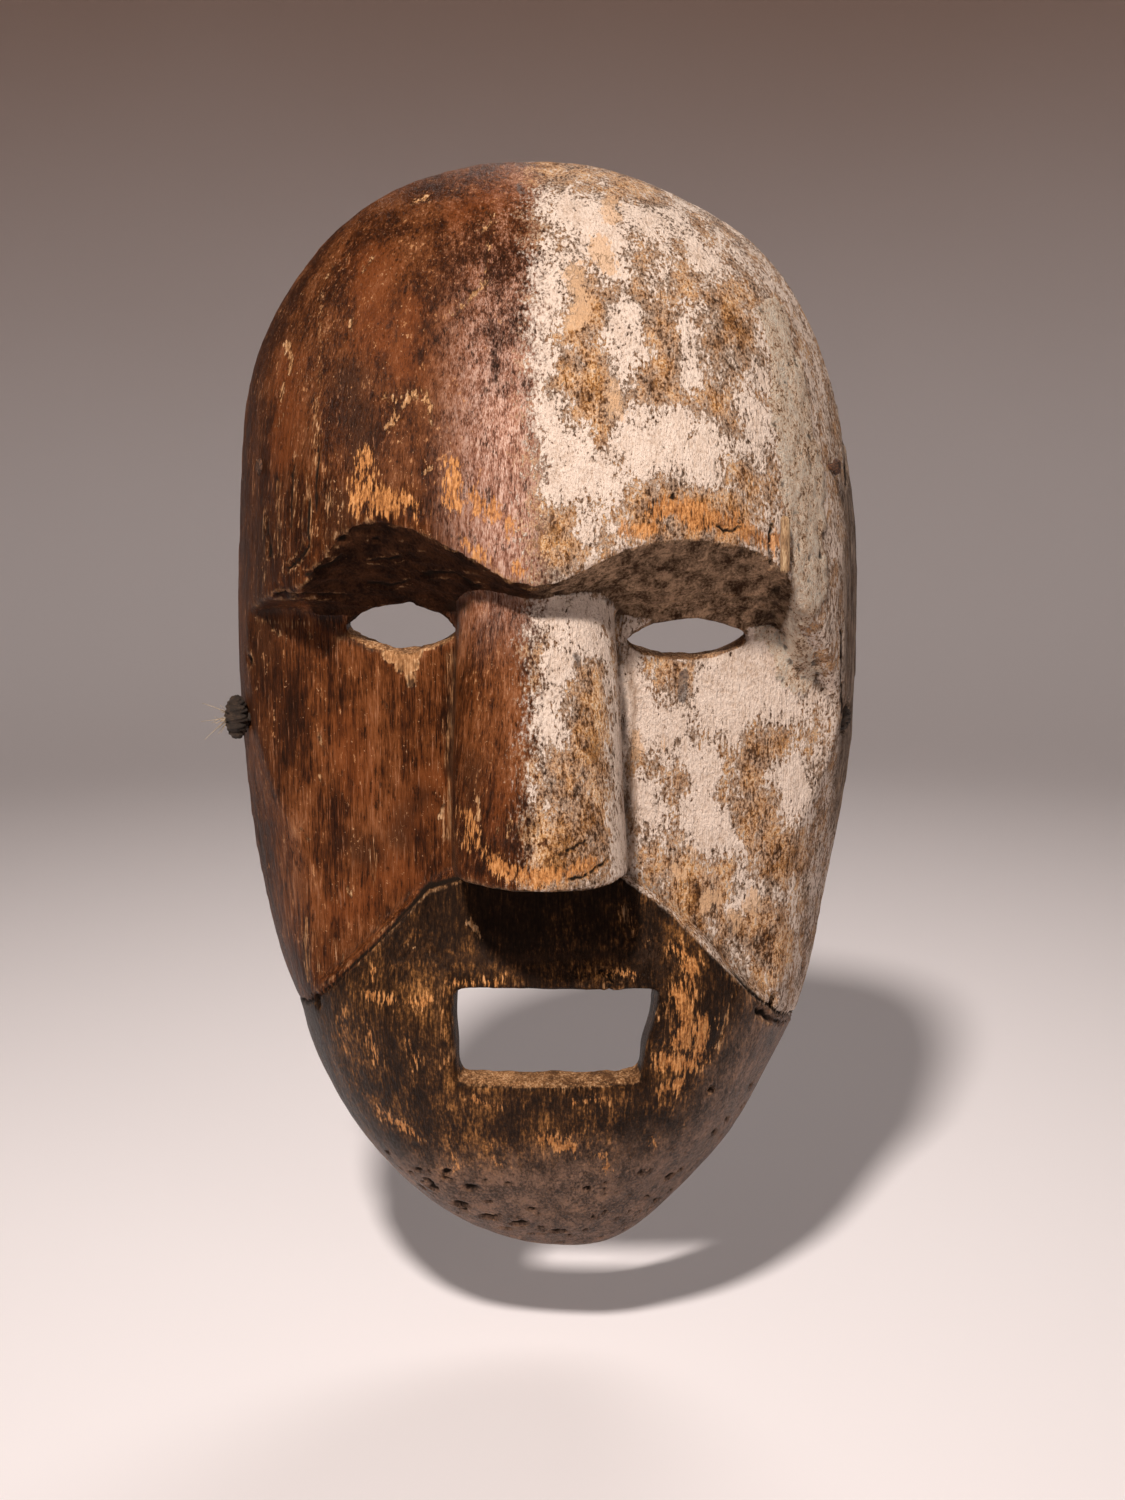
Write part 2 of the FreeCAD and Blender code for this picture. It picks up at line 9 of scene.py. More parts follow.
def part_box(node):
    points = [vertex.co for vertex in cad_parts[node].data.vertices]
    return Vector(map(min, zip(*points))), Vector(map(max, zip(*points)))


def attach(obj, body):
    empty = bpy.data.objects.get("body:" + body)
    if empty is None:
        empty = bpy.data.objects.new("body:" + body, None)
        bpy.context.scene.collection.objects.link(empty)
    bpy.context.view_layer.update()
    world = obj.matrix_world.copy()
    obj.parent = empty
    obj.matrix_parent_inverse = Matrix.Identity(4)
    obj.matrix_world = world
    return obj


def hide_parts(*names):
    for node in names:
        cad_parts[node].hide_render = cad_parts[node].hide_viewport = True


# A carved wooden face mask: a worn, painted shell with its peg, nails and hanging cord. Places and
# sizes below are in millimetres in the part's frame: x to the viewer's right, y backwards, z up.
MM = 0.001

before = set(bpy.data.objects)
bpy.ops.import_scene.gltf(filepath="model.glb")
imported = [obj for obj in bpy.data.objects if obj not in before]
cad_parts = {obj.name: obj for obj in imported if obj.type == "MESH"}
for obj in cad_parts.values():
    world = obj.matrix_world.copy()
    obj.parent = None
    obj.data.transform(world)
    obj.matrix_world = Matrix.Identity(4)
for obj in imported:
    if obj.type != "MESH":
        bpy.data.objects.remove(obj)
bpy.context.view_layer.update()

# ---- the carving's places, as x and z on the face ----

# The beard's upper edge, from left to right.
BEARD_LINE = (
    (-100, -103), (-84, -93), (-69, -79.5), (-50, -59), (-34, -41.5), (-22, -36.5), (0, -36),
    (20, -37), (33, -47), (50, -65), (67.5, -84), (84, -101), (100, -116),
)
# The brow's lower front edge, from left to right.
BROW_EDGE = (
    (-90, 38), (-80, 41), (-66, 46), (-60, 53), (-52, 61), (-39, 63), (-28, 61), (-21, 57),
    (-13, 50), (-5, 47), (8, 54), (19, 57), (31, 59), (44, 58), (59, 54), (66, 46), (72, 38),
)
PAINT_EDGE = -5        # x of the line between the brown and the white half

# Soft pushes that make the smooth CAD outline as uneven as the carving: centre x and z, reach,
# and the move in x and z.
PUSHES = (
    (-84, 102, 20, -2.6, 0.8), (-88, 62, 20, -0.5, 0), (-89, 30, 20, -0.9, 0),
    (-87, -2, 20, -1.4, 0), (-83, -32, 20, -2.4, 0), (-77, -62, 20, -1.7, 0),
    (-69, -92, 18, -2, -0.4), (-58, -117, 17, -2, -1), (-42, -139, 17, -0.8, -1.2),
    (-20, -153, 15, -0.4, -0.8), (8, -163, 16, 1, -1.2), (34, -143, 15, -1.6, 2),
    (80, -90, 14, 1.8, 0), (89, 0, 36, 1.3, 0), (79, 106, 18, 1.4, 0.6), (60, 131, 18, 2.2, 2.2),
    (-2, 160, 26, 0, 1), (-79, -89, 6, 1.6, 0), (32, -90, 6, -3.6, 0.6), (-30, -90, 6, 1.2, -0.6),
    (33, -63, 7, 3.4, 0),
)

# Each stroke is a half width and the points that it runs through.
CHIPS = (      # bare, tan wood where brown paint has flaked off
    (1.6, (-73, 110), (-72, 103)), (1, (-74, 100), (-75, 95)), (0.9, (-75, 88), (-73, 92)),
    (0.8, (-44, 114), (-41, 113), (-41, 110)), (0.9, (-44, 102), (-43, 101)),
    (1.3, (-44, 96), (-41, 95), (-40, 91), (-43, 88)), (1.1, (-40, 92), (-36, 97), (-33, 97)),
    (1.2, (-33, 97), (-31, 93), (-31, 89)), (0.9, (-17, 126), (-19, 124)),
    (1.2, (-19, 124), (-22, 121), (-25, 117)), (1, (-18, 147), (-14, 143), (-18, 140)),
    (0.9, (-15, 141), (-17, 133), (-16, 126)), (1, (-38, 149), (-34, 150)),
    (0.7, (-54, 117), (-53, 108)), (0.8, (-48, 133), (-51, 129)), (0.8, (-62, 128), (-60, 131)),
    (0.9, (-33, 76), (-31, 77)), (1.2, (-80, 30), (-78, 28)), (0.9, (-69, 29), (-68, 28)),
    (1, (-66, -1), (-64, -5)), (0.7, (-66, -12), (-65, -15)), (0.9, (-47, 11), (-45, 8)),
    (0.8, (-30, -18), (-31, -22)), (0.8, (-72, -28), (-70, -31)), (0.7, (-58, -44), (-57, -47)),
    (1.1, (-19, -10), (-18, -15)), (1, (-14, -12), (-14, -18)), (0.9, (-10, -15), (-11, -19)),
    (1.1, (-23, -50), (-20, -53), (-18, -57)), (0.8, (-39, -57), (-37, -58)),
    (0.8, (-33, -59), (-31, -61)), (0.6, (29, -52), (29, -58)), (1, (53, -71), (51, -80)),
    (0.9, (51, -80), (47, -89)), (0.9, (22, -46), (23, -54)),
)
STREAKS = (    # pale streaks down the grain at the far left, and worn strips elsewhere
    (1, (-63, 124), (-62, 99)), (1.7, (-63, 94), (-62, 78)), (1.4, (-65, 75), (-64, 57)),
    (1.2, (-59, 76), (-59, 57)), (1.3, (-75, 72), (-75, 52)), (0.9, (-69, 80), (-69, 60)),
    (0.9, (-80, 66), (-80, 45)), (0.8, (-55, 68), (-55, 58)), (2, (-27.6, 25), (-28.4, -27)),
    (1.6, (-71, -55), (-71, -74)), (1.2, (-68, -58), (-67, -70)), (1.1, (-62, -60), (-60, -66)),
    (1.3, (-84, 32), (-74, 31), (-63, 33)), (1, (-50, -30), (-50, -42)),
)
ORANGE = (     # wood worn bright above the brow, on the nose and round the mouth
    (3, (-48, 80), (-49, 70)), (4.4, (-47, 69), (-42, 67)), (2.6, (-38, 70), (-34, 66)),
    (2.2, (-51, 73), (-51, 66)), (2.6, (-25, 78), (-25, 68)), (3.2, (-20, 70), (-13, 66)),
    (1.5, (-10, 64), (-10, 60)), (1.6, (-22, 59), (-17, 54)), (2.4, (-7, 51.5), (-6.8, 52)),
    (3.4, (29, 67), (40, 66)), (3.6, (38, 64), (48, 63)), (3.2, (52, 60), (61, 57)),
    (2.2, (20, 61), (28, 62)), (2.3, (-22, -21), (-14, -25)), (2.6, (-14, -26), (-2, -29)),
    (2.6, (-2, -29), (12, -26)), (2.2, (-21, -15), (-20, -21)), (1.4, (-30, -69), (-30, -82)),
    (1.6, (-30, -84), (-31, -96)), (2.4, (34, -72), (34, -85)), (4.2, (33, -90), (41, -92)),
    (3, (33, -99), (39, -98)), (4.4, (37, -70), (38, -84)), (3.6, (44, -78), (43, -90)),
    (3, (36, -58), (40, -64)), (1.9, (8, -101), (17, -101)), (2, (-28, -66.5), (-14, -66.5)),
    (1.8, (16, -64.5), (25, -64)), (1.7, (-49, -64), (-50, -68)), (2.6, (-51, -72), (-44, -73)),
    (1.9, (-40, -73), (-33, -72)), (1.5, (-59, -78), (-60, -91)), (2.2, (-48, -110), (-39, -115)),
    (1.3, (-28, -118), (-28, -126)), (1.6, (-18, -116), (-13, -123)), (3, (-2, -113), (6, -117)),
    (2, (15, -119), (18, -124)), (1.6, (29, -115), (29, -118)), (2.8, (40, -62), (41, -72)),
    (1.4, (22, -47), (23, -54)), (2, (-52, -82), (-50, -92)), (1.8, (-40, -84), (-38, -92)),
    (1.6, (-22, -101), (-14, -103)),
)
RUST = (       # redder, more saturated paint
    (9, (-49, 132), (-46, 112)), (7, (-38, 118), (-38, 104)), (6, (-72, 104), (-74, 80)),
    (6, (-58, 4), (-56, -14)), (7, (-48, -38), (-38, -40)), (5, (-14, -8), (-15, -18)),
    (5, (-25, 145), (-15, 150)), (6, (-40, -24), (-32, -10)), (6, (-60, -50), (-52, -46)),
)
DARKER = (     # nearly black brown
    (6, (-54, 100), (-50, 82)), (5, (-57, 68), (-56, 58)), (5, (-60, -30), (-52, -34)),
    (4, (-36, -16), (-42, -28)), (5, (-80, 60), (-84, 20)), (4, (-20, -2), (-20, -12)),
)
WHITE = (      # where the white paint is thickest
    (3.6, (-1, 133), (0, 104)), (6, (-1, 150), (12, 147)), (4, (14, 140), (20, 132)),
    (4.6, (21, 117), (22, 104)), (4.4, (40, 119), (39, 102)), (8, (28, 86), (41, 84)),
    (5, (1, 92), (5, 74)), (1.9, (11, 75), (11, 62)), (4, (47, 104), (56, 84)),
    (3.6, (24, 146), (44, 128)), (4, (30, 128), (34, 138)), (4, (-1, 39), (9, 38)),
    (2.2, (3, 25), (3, 17)), (1.9, (-1, 15), (0, 8)), (2.2, (20, 20), (20, -24)),
    (9, (52, 14), (60, 22)), (5, (33, -2), (44, -10)), (5, (28, -14), (30, -26)),
    (5, (27, 12), (32, 4)), (3.4, (55, -41), (58, -45)), (5, (66, 24), (66, 6)),
    (4, (68, -12), (70, -24)), (2, (9, 33), (12, 30)), (6, (38, -16), (48, -30)),
)
BARE = (       # where the white paint is worn down to ochre and dark grain
    (6, (11, 116), (11, 94)), (6, (31, 116), (30, 96)), (6, (47, 114), (46, 92)),
    (9, (30, 131), (46, 120)), (6, (28, 66), (48, 64)), (4, (8, 66), (6, 58)),
    (6, (63, -2), (58, -10)), (6, (30, -6), (37, -14)), (4, (36, 19), (30, 17)),
    (8, (60, -22), (66, -34)), (7, (48, -40), (40, -48)), (6, (60, -55), (66, -66)),
    (5, (12, 20), (14, -6)), (4, (8, 6), (8, -8)), (7, (14, -16), (4, -22)),
    (5, (-2, 156), (24, 152)), (4, (50, 76), (54, 70)), (5, (30, -28), (38, -36)),
)
PEACH = (      # smooth patches of a peach undercoat
    (3.2, (14, 136), (16, 131)), (2.8, (7, 129), (9, 116)), (2.2, (18, 148), (18, 144)),
    (2, (18, 100), (18, 92)), (2.2, (25, 1), (25, -2)), (1.4, (33, 0), (33, -2)),
    (3.4, (46, -46.6), (46.2, -47)), (2, (36, -36), (37, -38)), (2.4, (60, -46), (60, -49)),
    (1.6, (39, -28), (41, -32)), (2.2, (54, -52), (55, -56)),
)
PLASTER = (    # a gritty cream filler down the right temple and cheek
    (4.6, (63, 118), (65, 104)), (6.4, (66, 100), (68, 82)), (7, (69, 80), (71, 62)),
    (5.5, (71, 60), (72, 44)), (7, (71, 44), (64, 34)), (6, (64, 34), (72, 18)),
)
SMEARS = (     # dark blue-grey smudges
    (1.4, (38, 19), (38, 12)), (0.9, (7, 28), (8, 25)), (1.2, (-8, 153), (-7, 151)),
)

CREASES = (    # dark lines in the corners beside the nose and round the openings: partly dirt, partly painted shade
    (0.9, (-25, 34), (-26.4, 10), (-27, -24)), (0.5, (22.6, 30), (24, 0), (25, -26)),
    (0.8, (-27, -25), (-24, -34)), (0.7, (24, -27), (22, -36)), (1.1, (-28, 38), (-22, 40)),
    (0.7, (-64, 33), (-58, 30), (-50, 26)), (0.6, (-30, -61), (-31, -76), (-31, -90)),
    (0.7, (-28, -60.5), (0, -59.5), (30, -60)), (0.6, (31, -62), (34, -74), (33, -84)),
    (0.6, (26, 30), (33, 25), (45, 23)),
)

# Cracks: half width, depth, and the points from end to end.
CRACKS = (
    (0.45, 1.3, (-64.5, 68), (-65.5, 61), (-65, 56), (-68, 52), (-72, 49)),
    (0.7, 1.8, (-76, 41), (-70, 41.5), (-63, 41), (-57, 40.5)),
    (0.4, 0.9, (-66, 48), (-60, 50), (-56, 53)), (0.55, 1.4, (45, 62.5), (47, 61), (51, 61.5)),
    (0.45, 1.2, (14, -63), (16, -64), (18, -66), (17, -68)), (0.35, 0.8, (18, -66), (20, -67)),
    (0.35, 0.7, (3, -23), (6, -22), (10, -20)), (0.4, 0.7, (5, -30), (10, -29), (16, -26)),
    (0.4, 0.8, (60.5, 62), (60, 56), (60.5, 51)), (0.35, 0.7, (-79, 62), (-78, 52)),
    (0.3, 0.7, (86, 92), (86, 70)), (0.3, 0.6, (84, 30), (86, 4)),
    (0.4, 0.8, (-34, 48), (-26, 49), (-18, 46)), (0.35, 0.7, (-48, 52), (-40, 53)),
    (0.35, 0.7, (-50, 45), (-44, 44), (-38, 46)), (1.1, 2.2, (61, -80), (65.5, -85)),
    (0.5, 0.9, (66, -86), (72, -92), (75, -93)), (0.3, 0.6, (-62, 84), (-62.5, 66)),
    (0.3, 0.6, (-70, 78), (-71, 60)),
)
# Holes and knocks: x, z, half width, half height and depth.
DENTS = (
    (-73, 41.5, 1.9, 1.5, 2.6), (-87, 20, 1, 1.6, 1.8), (33, 70, 0.8, 0.8, 1.6),
    (-39, 36.8, 1.4, 1.6, 1.6), (-55, 58, 1.6, 1, 1.2), (-46, 58, 1.4, 0.8, 1),
    (-34, -135, 2, 1.2, 1.2), (-26, -140, 2.6, 1.2, 1.6), (-18, -145, 3, 1.3, 1.6),
    (-23, -132, 2, 1.2, 1.3), (-9, -147, 2.6, 1.1, 1.2), (-30, -127, 1.4, 1, 1),
    (47, -102, 1.2, 0.9, 1.2), (61, -109, 1, 1.2, 1.2), (59, -117, 1, 1.1, 1),
    (53, -117, 1.1, 1, 1.1), (49, -120, 1.2, 1, 1.2), (36, -133, 1.6, 1, 1.2),
    (-13, -150, 2.2, 1, 1.2), (2, -150, 1.8, 0.9, 1), (-38, -128, 1.3, 0.9, 0.9),
)
# The wedge-shaped flake under the left eye: half width and the points it fills between.
EYE_FLAKE = (
    (2.6, (-44, 24), (-38, 25)), (2.2, (-41, 21), (-38, 22)), (1.6, (-39.5, 19), (-39, 16)),
)

# The hanging cord's route, through the left hole, across the hollow and into the right hole.
CORD_ROUTE = (
    (-89, -12, 2), (-69, -12, 1.4), (-46, -11, -12.5), (-19, -9.5, -19.5), (10, -9, -19),
    (37, -10.5, -12.5), (60, -12, -1), (83, -12, 2),
)
CORD_RADIUS = 1.3

SHELL_VOXEL = 1.25     # the shell's mesh size

# Depths of the marks of carving and age.
CHIP_DEPTH, FLAKE_DEPTH, WEAR_DEPTH = 0.35, 0.6, 0.15
FILLER_THICKNESS = 0.5
GROOVE_DEPTH, GROOVE_WIDTH = 0.9, 1.3    # the line along the beard's edge
GOUGE_DEPTH, GOUGE_SPACING = 0.9, 3.4    # the cuts in the hollow
PIT_DEPTH = 0.9                          # under the chin


# ---- random and smooth fields over points ----

def scattered(cell):
    """Repeatable random values from -1 to 1 for whole-number cells."""
    mixed = (cell[:, 0] * 73856093) ^ (cell[:, 1] * 19349663) ^ (cell[:, 2] * 83492791)
    mixed = (mixed ^ (mixed >> 13)) * 1274126177
    return ((mixed ^ (mixed >> 16)) & 0xFFFF) / 32767.5 - 1


def lumps(points, size, seed):
    """Smooth random values from -1 to 1; size is a lump's size, or one size for each axis."""
    scaled = points / np.asarray(size, float) + 17.31 * seed
    cell = np.floor(scaled).astype(np.int64)
    part = scaled - cell
    part = part ** 3 * (part * (part * 6 - 15) + 10)
    total = np.zeros(len(points))
    for corner in np.ndindex(2, 2, 2):
        weight = np.prod(np.where(np.array(corner) > 0, part, 1 - part), axis=1)
        total += weight * scattered(cell + np.array(corner))
    return total


def rough(points, size, seed):
    """Lumps with smaller lumps on them, and smaller ones on those, about -1 to 1."""
    size = np.asarray(size, float)
    layers = [lumps(points, size / 2 ** n, seed + n) / 2 ** n for n in range(3)]
    return sum(layers) / 1.4


def step(value, low, high):
    """0 below low, 1 above high, and smooth between them."""
    share = np.clip((value - low) / (high - low), 0, 1)
    return share * share * (3 - 2 * share)


def distance(flat, path):
    """Distance in x and z from each point to a line through the path's points."""
    nearest = np.full(len(flat), np.inf)
    for start, end in zip(path, path[1:]):
        start, run = np.array(start, float), np.subtract(end, start).astype(float)
        along = np.clip((flat - start) @ run / (run @ run), 0, 1)
        nearest = np.minimum(nearest, np.linalg.norm(flat - start - along[:, None] * run, axis=1))
    return nearest


def reach_of(flat, strokes):
    """How far inside the nearest stroke each point lies, in millimetres; outside is negative."""
    return np.max([width - distance(flat, path) for width, *path in strokes], axis=0)


def level_of(line, x):
    """The height of a line such as the beard's edge at x."""
    return np.interp(x, [p[0] for p in line], [p[1] for p in line])


# ---- the camera, at the height and angle of someone facing the mask ----

def make_camera():
    """A 50 mm lens that looks down ten degrees at the mask."""
    tilt, far = math.radians(10), 590
    target = Vector((4, -40, -3)) * MM
    ahead = Vector((0, math.cos(tilt), -math.sin(tilt)))
    made = bpy.data.objects.new("camera", bpy.data.cameras.new("camera"))
    made.data.lens = 50
    made.data.clip_start = 0.01
    made.location = target - ahead * far * MM
    made.rotation_euler = (math.pi / 2 - tilt, 0, 0)
    bpy.context.scene.collection.objects.link(made)
    bpy.context.scene.camera = made


# ---- meshes ----

def add_mesh(name, points, faces):
    """A smooth-shaded mesh object from points in millimetres."""
    mesh = bpy.data.meshes.new(name)
    mesh.from_pydata(np.asarray(points) * MM, [], faces)
    mesh.update()
    mesh.shade_smooth()
    made = bpy.data.objects.new(name, mesh)
    bpy.context.scene.collection.objects.link(made)
    return made


def wall_between(rings, sides):
    """Faces that join rings of points, each of so many sides, into a tube."""
    faces = []
    for ring in range(rings - 1):
        for corner in range(sides):
            following = (corner + 1) % sides
            first, second = ring * sides, (ring + 1) * sides
            faces.append((first + corner, first + following, second + following, second + corner))
    return faces


def remeshed(node, name, voxel):
    """A copy of a CAD node as an even mesh of quads, about voxel millimetres each."""
    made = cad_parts[node].copy()
    made.data = made.data.copy()
    for key in list(made.keys()):
        del made[key]
    made.parent = None
    made.name = made.data.name = name
    made.data.materials.clear()
    bpy.context.scene.collection.objects.link(made)
    modifier = made.modifiers.new("even", "REMESH")
    modifier.mode = "VOXEL"
    modifier.voxel_size = voxel * MM
    seen = made.evaluated_get(bpy.context.evaluated_depsgraph_get())
    mesh = bpy.data.meshes.new_from_object(seen)
    made.modifiers.clear()
    made.data = mesh
    mesh.name = name
    mesh.shade_smooth()
    return made


class Surface:
    """A mesh's points and normals in millimetres, with smoothing over its edges."""

    def __init__(self, piece):
        self.mesh = piece.data
        self.count = len(self.mesh.vertices)
        self.points = self.read(self.mesh.vertices, "co", 3) / MM
        self.edges = self.read(self.mesh.edges, "vertices", 2, np.int64)
        ends = self.edges.ravel()
        self.valence = np.maximum(np.bincount(ends, minlength=self.count), 1)
        self.refresh()

    def read(self, items, name, width, kind=np.float64):
        values = np.zeros(len(items) * width, np.float32 if kind is np.float64 else np.int32)
        items.foreach_get(name, values)
        return values.astype(kind).reshape(-1, width)

    def refresh(self):
        """Writes the points to the mesh and reads its normals again."""
        self.mesh.vertices.foreach_set("co", (self.points * MM).astype(np.float32).ravel())
        self.mesh.update()
        self.normals = self.read(self.mesh.vertices, "normal", 3)
        self.flat = self.points[:, [0, 2]]

    def smoothed(self, values, times):
        """Values averaged with their neighbours' several times."""
        values = values.reshape(self.count, -1)
        first, second = self.edges[:, 0], self.edges[:, 1]
        for _ in range(times):
            total = np.zeros_like(values)
            for axis in range(values.shape[1]):
                total[:, axis] = (
                    np.bincount(first, values[second, axis], self.count)
                    + np.bincount(second, values[first, axis], self.count)
                )
            values = 0.5 * values + 0.5 * total / self.valence[:, None]
        return values if values.shape[1] > 1 else values[:, 0]

    def hollowness(self, times):
        """How far each point lies under its surroundings, negative on ridges, in millimetres."""
        return np.sum((self.smoothed(self.points, times) - self.points) * self.normals, axis=1)

    def push(self, amount):
        """Moves each point along its normal."""
        self.points = self.points + self.normals * amount[:, None]
        self.refresh()

    def keep(self, name, values):
        """Stores a value for each point for the materials to read."""
        made = self.mesh.attributes.new(name, "FLOAT", "POINT")
        made.data.foreach_set("value", values.astype(np.float32))


def facing_out(surface):
    """1 on the outside of the shell and 0 on the rim and in the hollow, softened."""
    polygons = [tuple(p.vertices) for p in surface.mesh.polygons]
    tree = BVHTree.FromPolygons([tuple(p) for p in surface.points], polygons)
    forward = Vector((0, -1, 0))
    starts = surface.points + surface.normals * 0.8
    clear = [tree.ray_cast(Vector(start), forward)[0] is None for start in starts]
    return surface.smoothed(np.array(clear, float), 2)


def make_shell():
    """The mask itself: the CAD shell's shape with a carver's and an age's marks on it."""
    piece = remeshed("mask_shell", "mask_wood", SHELL_VOXEL)
    surface = Surface(piece)
    surface.points = surface.smoothed(surface.points, 2)
    surface.refresh()
    for x, z, reach, move_x, move_z in PUSHES:
        near = np.exp(-np.sum((surface.flat - (x, z)) ** 2, axis=1) / (2 * reach ** 2))
        surface.points[:, 0] += move_x * near
        surface.points[:, 2] += move_z * near
    surface.refresh()
    outside = facing_out(surface)
    soften_edges(surface, outside)
    regions = find_regions(surface, outside)
    carve(surface, regions)
    for name, values in regions.items():
        surface.keep(name, values)
    return piece


def soften_edges(surface, outside):
    """Wears the sharp edges round, most of all at the mouth's right corner and its sill."""
    x, z = surface.flat.T
    ridge = step(-surface.hollowness(4), 0.05, 0.35)
    mouth = np.exp(-((x - 30) ** 2) / 60 - ((z + 88) ** 2) / 160)
    worn = np.clip(0.55 * ridge + mouth * outside, 0, 1)
    sill = outside * step(33 - np.abs(x), 0, 4) * np.exp(-((z + 93) ** 2) / 18)
    for share, times in ((surface.smoothed(sill, 2), 24), (surface.smoothed(worn, 3), 8)):
        softened = surface.smoothed(surface.points, times)
        surface.points = surface.points + share[:, None] * (softened - surface.points)
    surface.refresh()


def find_regions(surface, outside):
    """Where each kind of wood, paint and wear lies: distances in millimetres, or shares."""
    points, flat, normals = surface.points, surface.flat, surface.normals
    x, y, z = points.T
    wander = 1.6 * rough(points, 7, 3)[:, None] * np.array([1, 0.4])
    warped = flat + wander
    beard = level_of(BEARD_LINE, x) - 0.15 * np.clip(-y - 47, 0, 40) - z
    below_brow = step(level_of(BROW_EDGE, x) + 1.5 - z, -0.5, 1.5) * step(z, 24, 30)
    facing_down = step(-normals[:, 2], 0.25, 0.6)
    near_openings = np.maximum(
        step(34 - np.abs(x), 0, 3) * step(np.abs(z + 86), 12, 9),
        step(np.abs(z - 24), 12, 9),
    )
    regions = {
        "outside": outside,
        "beard": beard,
        "white_side": x - PAINT_EDGE + 1.5 * rough(points, (9, 9, 14), 5),
        "under_brow": outside * below_brow * facing_down * step(71 - np.abs(x), 0, 8),
        "under_nose": outside * step(-normals[:, 2], 0.55, 0.8) * step(-z, 24, 28)
        * step(z, -46, -40) * step(-y, 52, 58),
        "lids": step(normals[:, 2], 0.35, 0.7) * step(-y, 18, 26) * near_openings,
        "broad_hollow": surface.hollowness(40),
    }
    marks = {
        "chips": CHIPS, "streaks": STREAKS, "orange": ORANGE, "rust": RUST, "darker": DARKER,
        "white": WHITE, "bare": BARE, "peach": PEACH, "plaster": PLASTER, "smears": SMEARS,
        "flake": EYE_FLAKE, "creases": CREASES,
    }
    for name, strokes in marks.items():
        fine = name in ("chips", "streaks", "smears", "flake")
        place = flat + 0.35 * wander if fine else warped
        regions[name] = np.clip(reach_of(place, strokes), -12, 12)
    return regions


def carve(surface, regions):
    """Moves the surface: tool marks, wear, flaked paint, filler, cracks and holes."""
    points, normals, out = surface.points, surface.normals, regions["outside"]
    x, y, z = points.T
    within = 1 - out
    rim = step(y, -2.5, -0.5)
    amount = out * (0.55 * lumps(points, (26, 26, 40), 11) + 0.16 * rough(points, (5, 5, 14), 12))
    amount += 0.05 * rough(points, (1.8, 1.8, 4), 13) * out
    # the undersides keep the level marks of the gouge
    level_marks = rough(points, (14, 6, 1.7), 14)
    amount += regions["under_brow"] * (0.5 * level_marks + 0.5 * rough(points, (7, 5, 4), 28))
    amount += 0.2 * regions["under_nose"] * rough(points, (12, 2, 2), 15)
    amount += regions["lids"] * 0.5 * rough(points, (3.5, 2.5, 2.5), 30)
    # the brow's edge is chipped
    brow_gap = np.abs(z - level_of(BROW_EDGE, x))
    edge = out * step(3.2 - brow_gap, 0, 2.5) * step(-y, 36, 42)
    amount -= 0.7 * edge * np.clip(rough(points, 3.2, 16) + 0.1, 0, 1)
    # paint and wood that has come away, and filler that was put on
    ragged = 0.7 * rough(points, (1.6, 1.6, 3.4), 17)
    lost = (("chips", CHIP_DEPTH, 0.7), ("flake", FLAKE_DEPTH, 0.8), ("orange", WEAR_DEPTH, 1))
    for name, depth, soft in lost:
        amount -= depth * out * step(regions[name] + ragged, -0.2, soft)
    filler = out * step(regions["plaster"] + 1.6 * ragged, -0.6, 1)
    amount += filler * (FILLER_THICKNESS + 0.4 * rough(points, 2.8, 18))
    amount += 0.2 * filler * lumps(points, 1.5, 19)
    amount -= 0.7 * filler * step(lumps(points, (3, 3, 4), 29), 0.55, 0.8)
    regions["filler"] = filler
    # the fine groove along the beard's edge
    beard_gap = np.abs(regions["beard"] + 0.5 + 0.5 * lumps(points, 6, 20))
    groove = out * np.clip(1 - beard_gap / GROOVE_WIDTH, 0, 1) * step(np.abs(x), 22, 26)
    groove *= np.where(x < 0, 1, step(x, 44, 60) * 0.9 + 0.1)
    amount -= GROOVE_DEPTH * groove
    # the hollow is cut with a curved gouge and left rough
    bend = 1.6 * lumps(points, 30, 21) + 0.8 * lumps(points, (14, 14, 30), 22)
    scallops = GOUGE_DEPTH * np.abs(np.sin(x / GOUGE_SPACING + bend)) - 0.6
    amount += within * (1 - rim) * (scallops + 0.2 * rough(points, (3, 3, 7), 23))
    amount += within * rim * 0.16 * rough(points, (2.2, 2.2, 2.2), 24)
    # the lower chin is pitted
    low = out * step(-z, 112, 132) * step(-normals[:, 2], 0.1, 0.5)
    pits = lumps(points, (3.2, 3.2, 2), 25) + 0.5 * lumps(points, (1.6, 1.6, 1.2), 26)
    amount -= low * PIT_DEPTH * step(pits, 0.62, 1.1)
    # where the paint is darkened in cracks, dents, pits and the groove: partly dirt, partly painted
    # shade
    scars_and_shade = np.zeros(surface.count)
    bent = surface.flat + 0.5 * lumps(points, 2.6, 27)[:, None]
    for width, depth, *path in CRACKS:
        gap = distance(bent, path)
        scar = out * np.clip(1 - gap / (width + 0.35), 0, 1)
        amount -= depth * scar
        amount += 0.25 * out * np.exp(-((gap - width - 0.9) / 0.5) ** 2)
        scars_and_shade = np.maximum(scars_and_shade, scar)
    for place_x, place_z, half_width, half_height, depth in DENTS:
        far = np.hypot((bent[:, 0] - place_x) / half_width, (bent[:, 1] - place_z) / half_height)
        dent = out * step(1.25 - far, 0, 0.8)
        amount -= depth * dent
        scars_and_shade = np.maximum(scars_and_shade, 0.9 * dent)
    scars_and_shade = np.maximum(scars_and_shade, 0.8 * low * step(pits, 0.62, 1))
    scars_and_shade = np.maximum(scars_and_shade, groove)
    regions["scars_and_shade"] = scars_and_shade
    surface.push(amount)
    # how far each point lies in a small hollow, where the paint takes dirt and painted shade
    regions["grime_and_shade"] = np.clip(surface.hollowness(3) / 0.25, -1, 1)


# ---- the small pieces ----

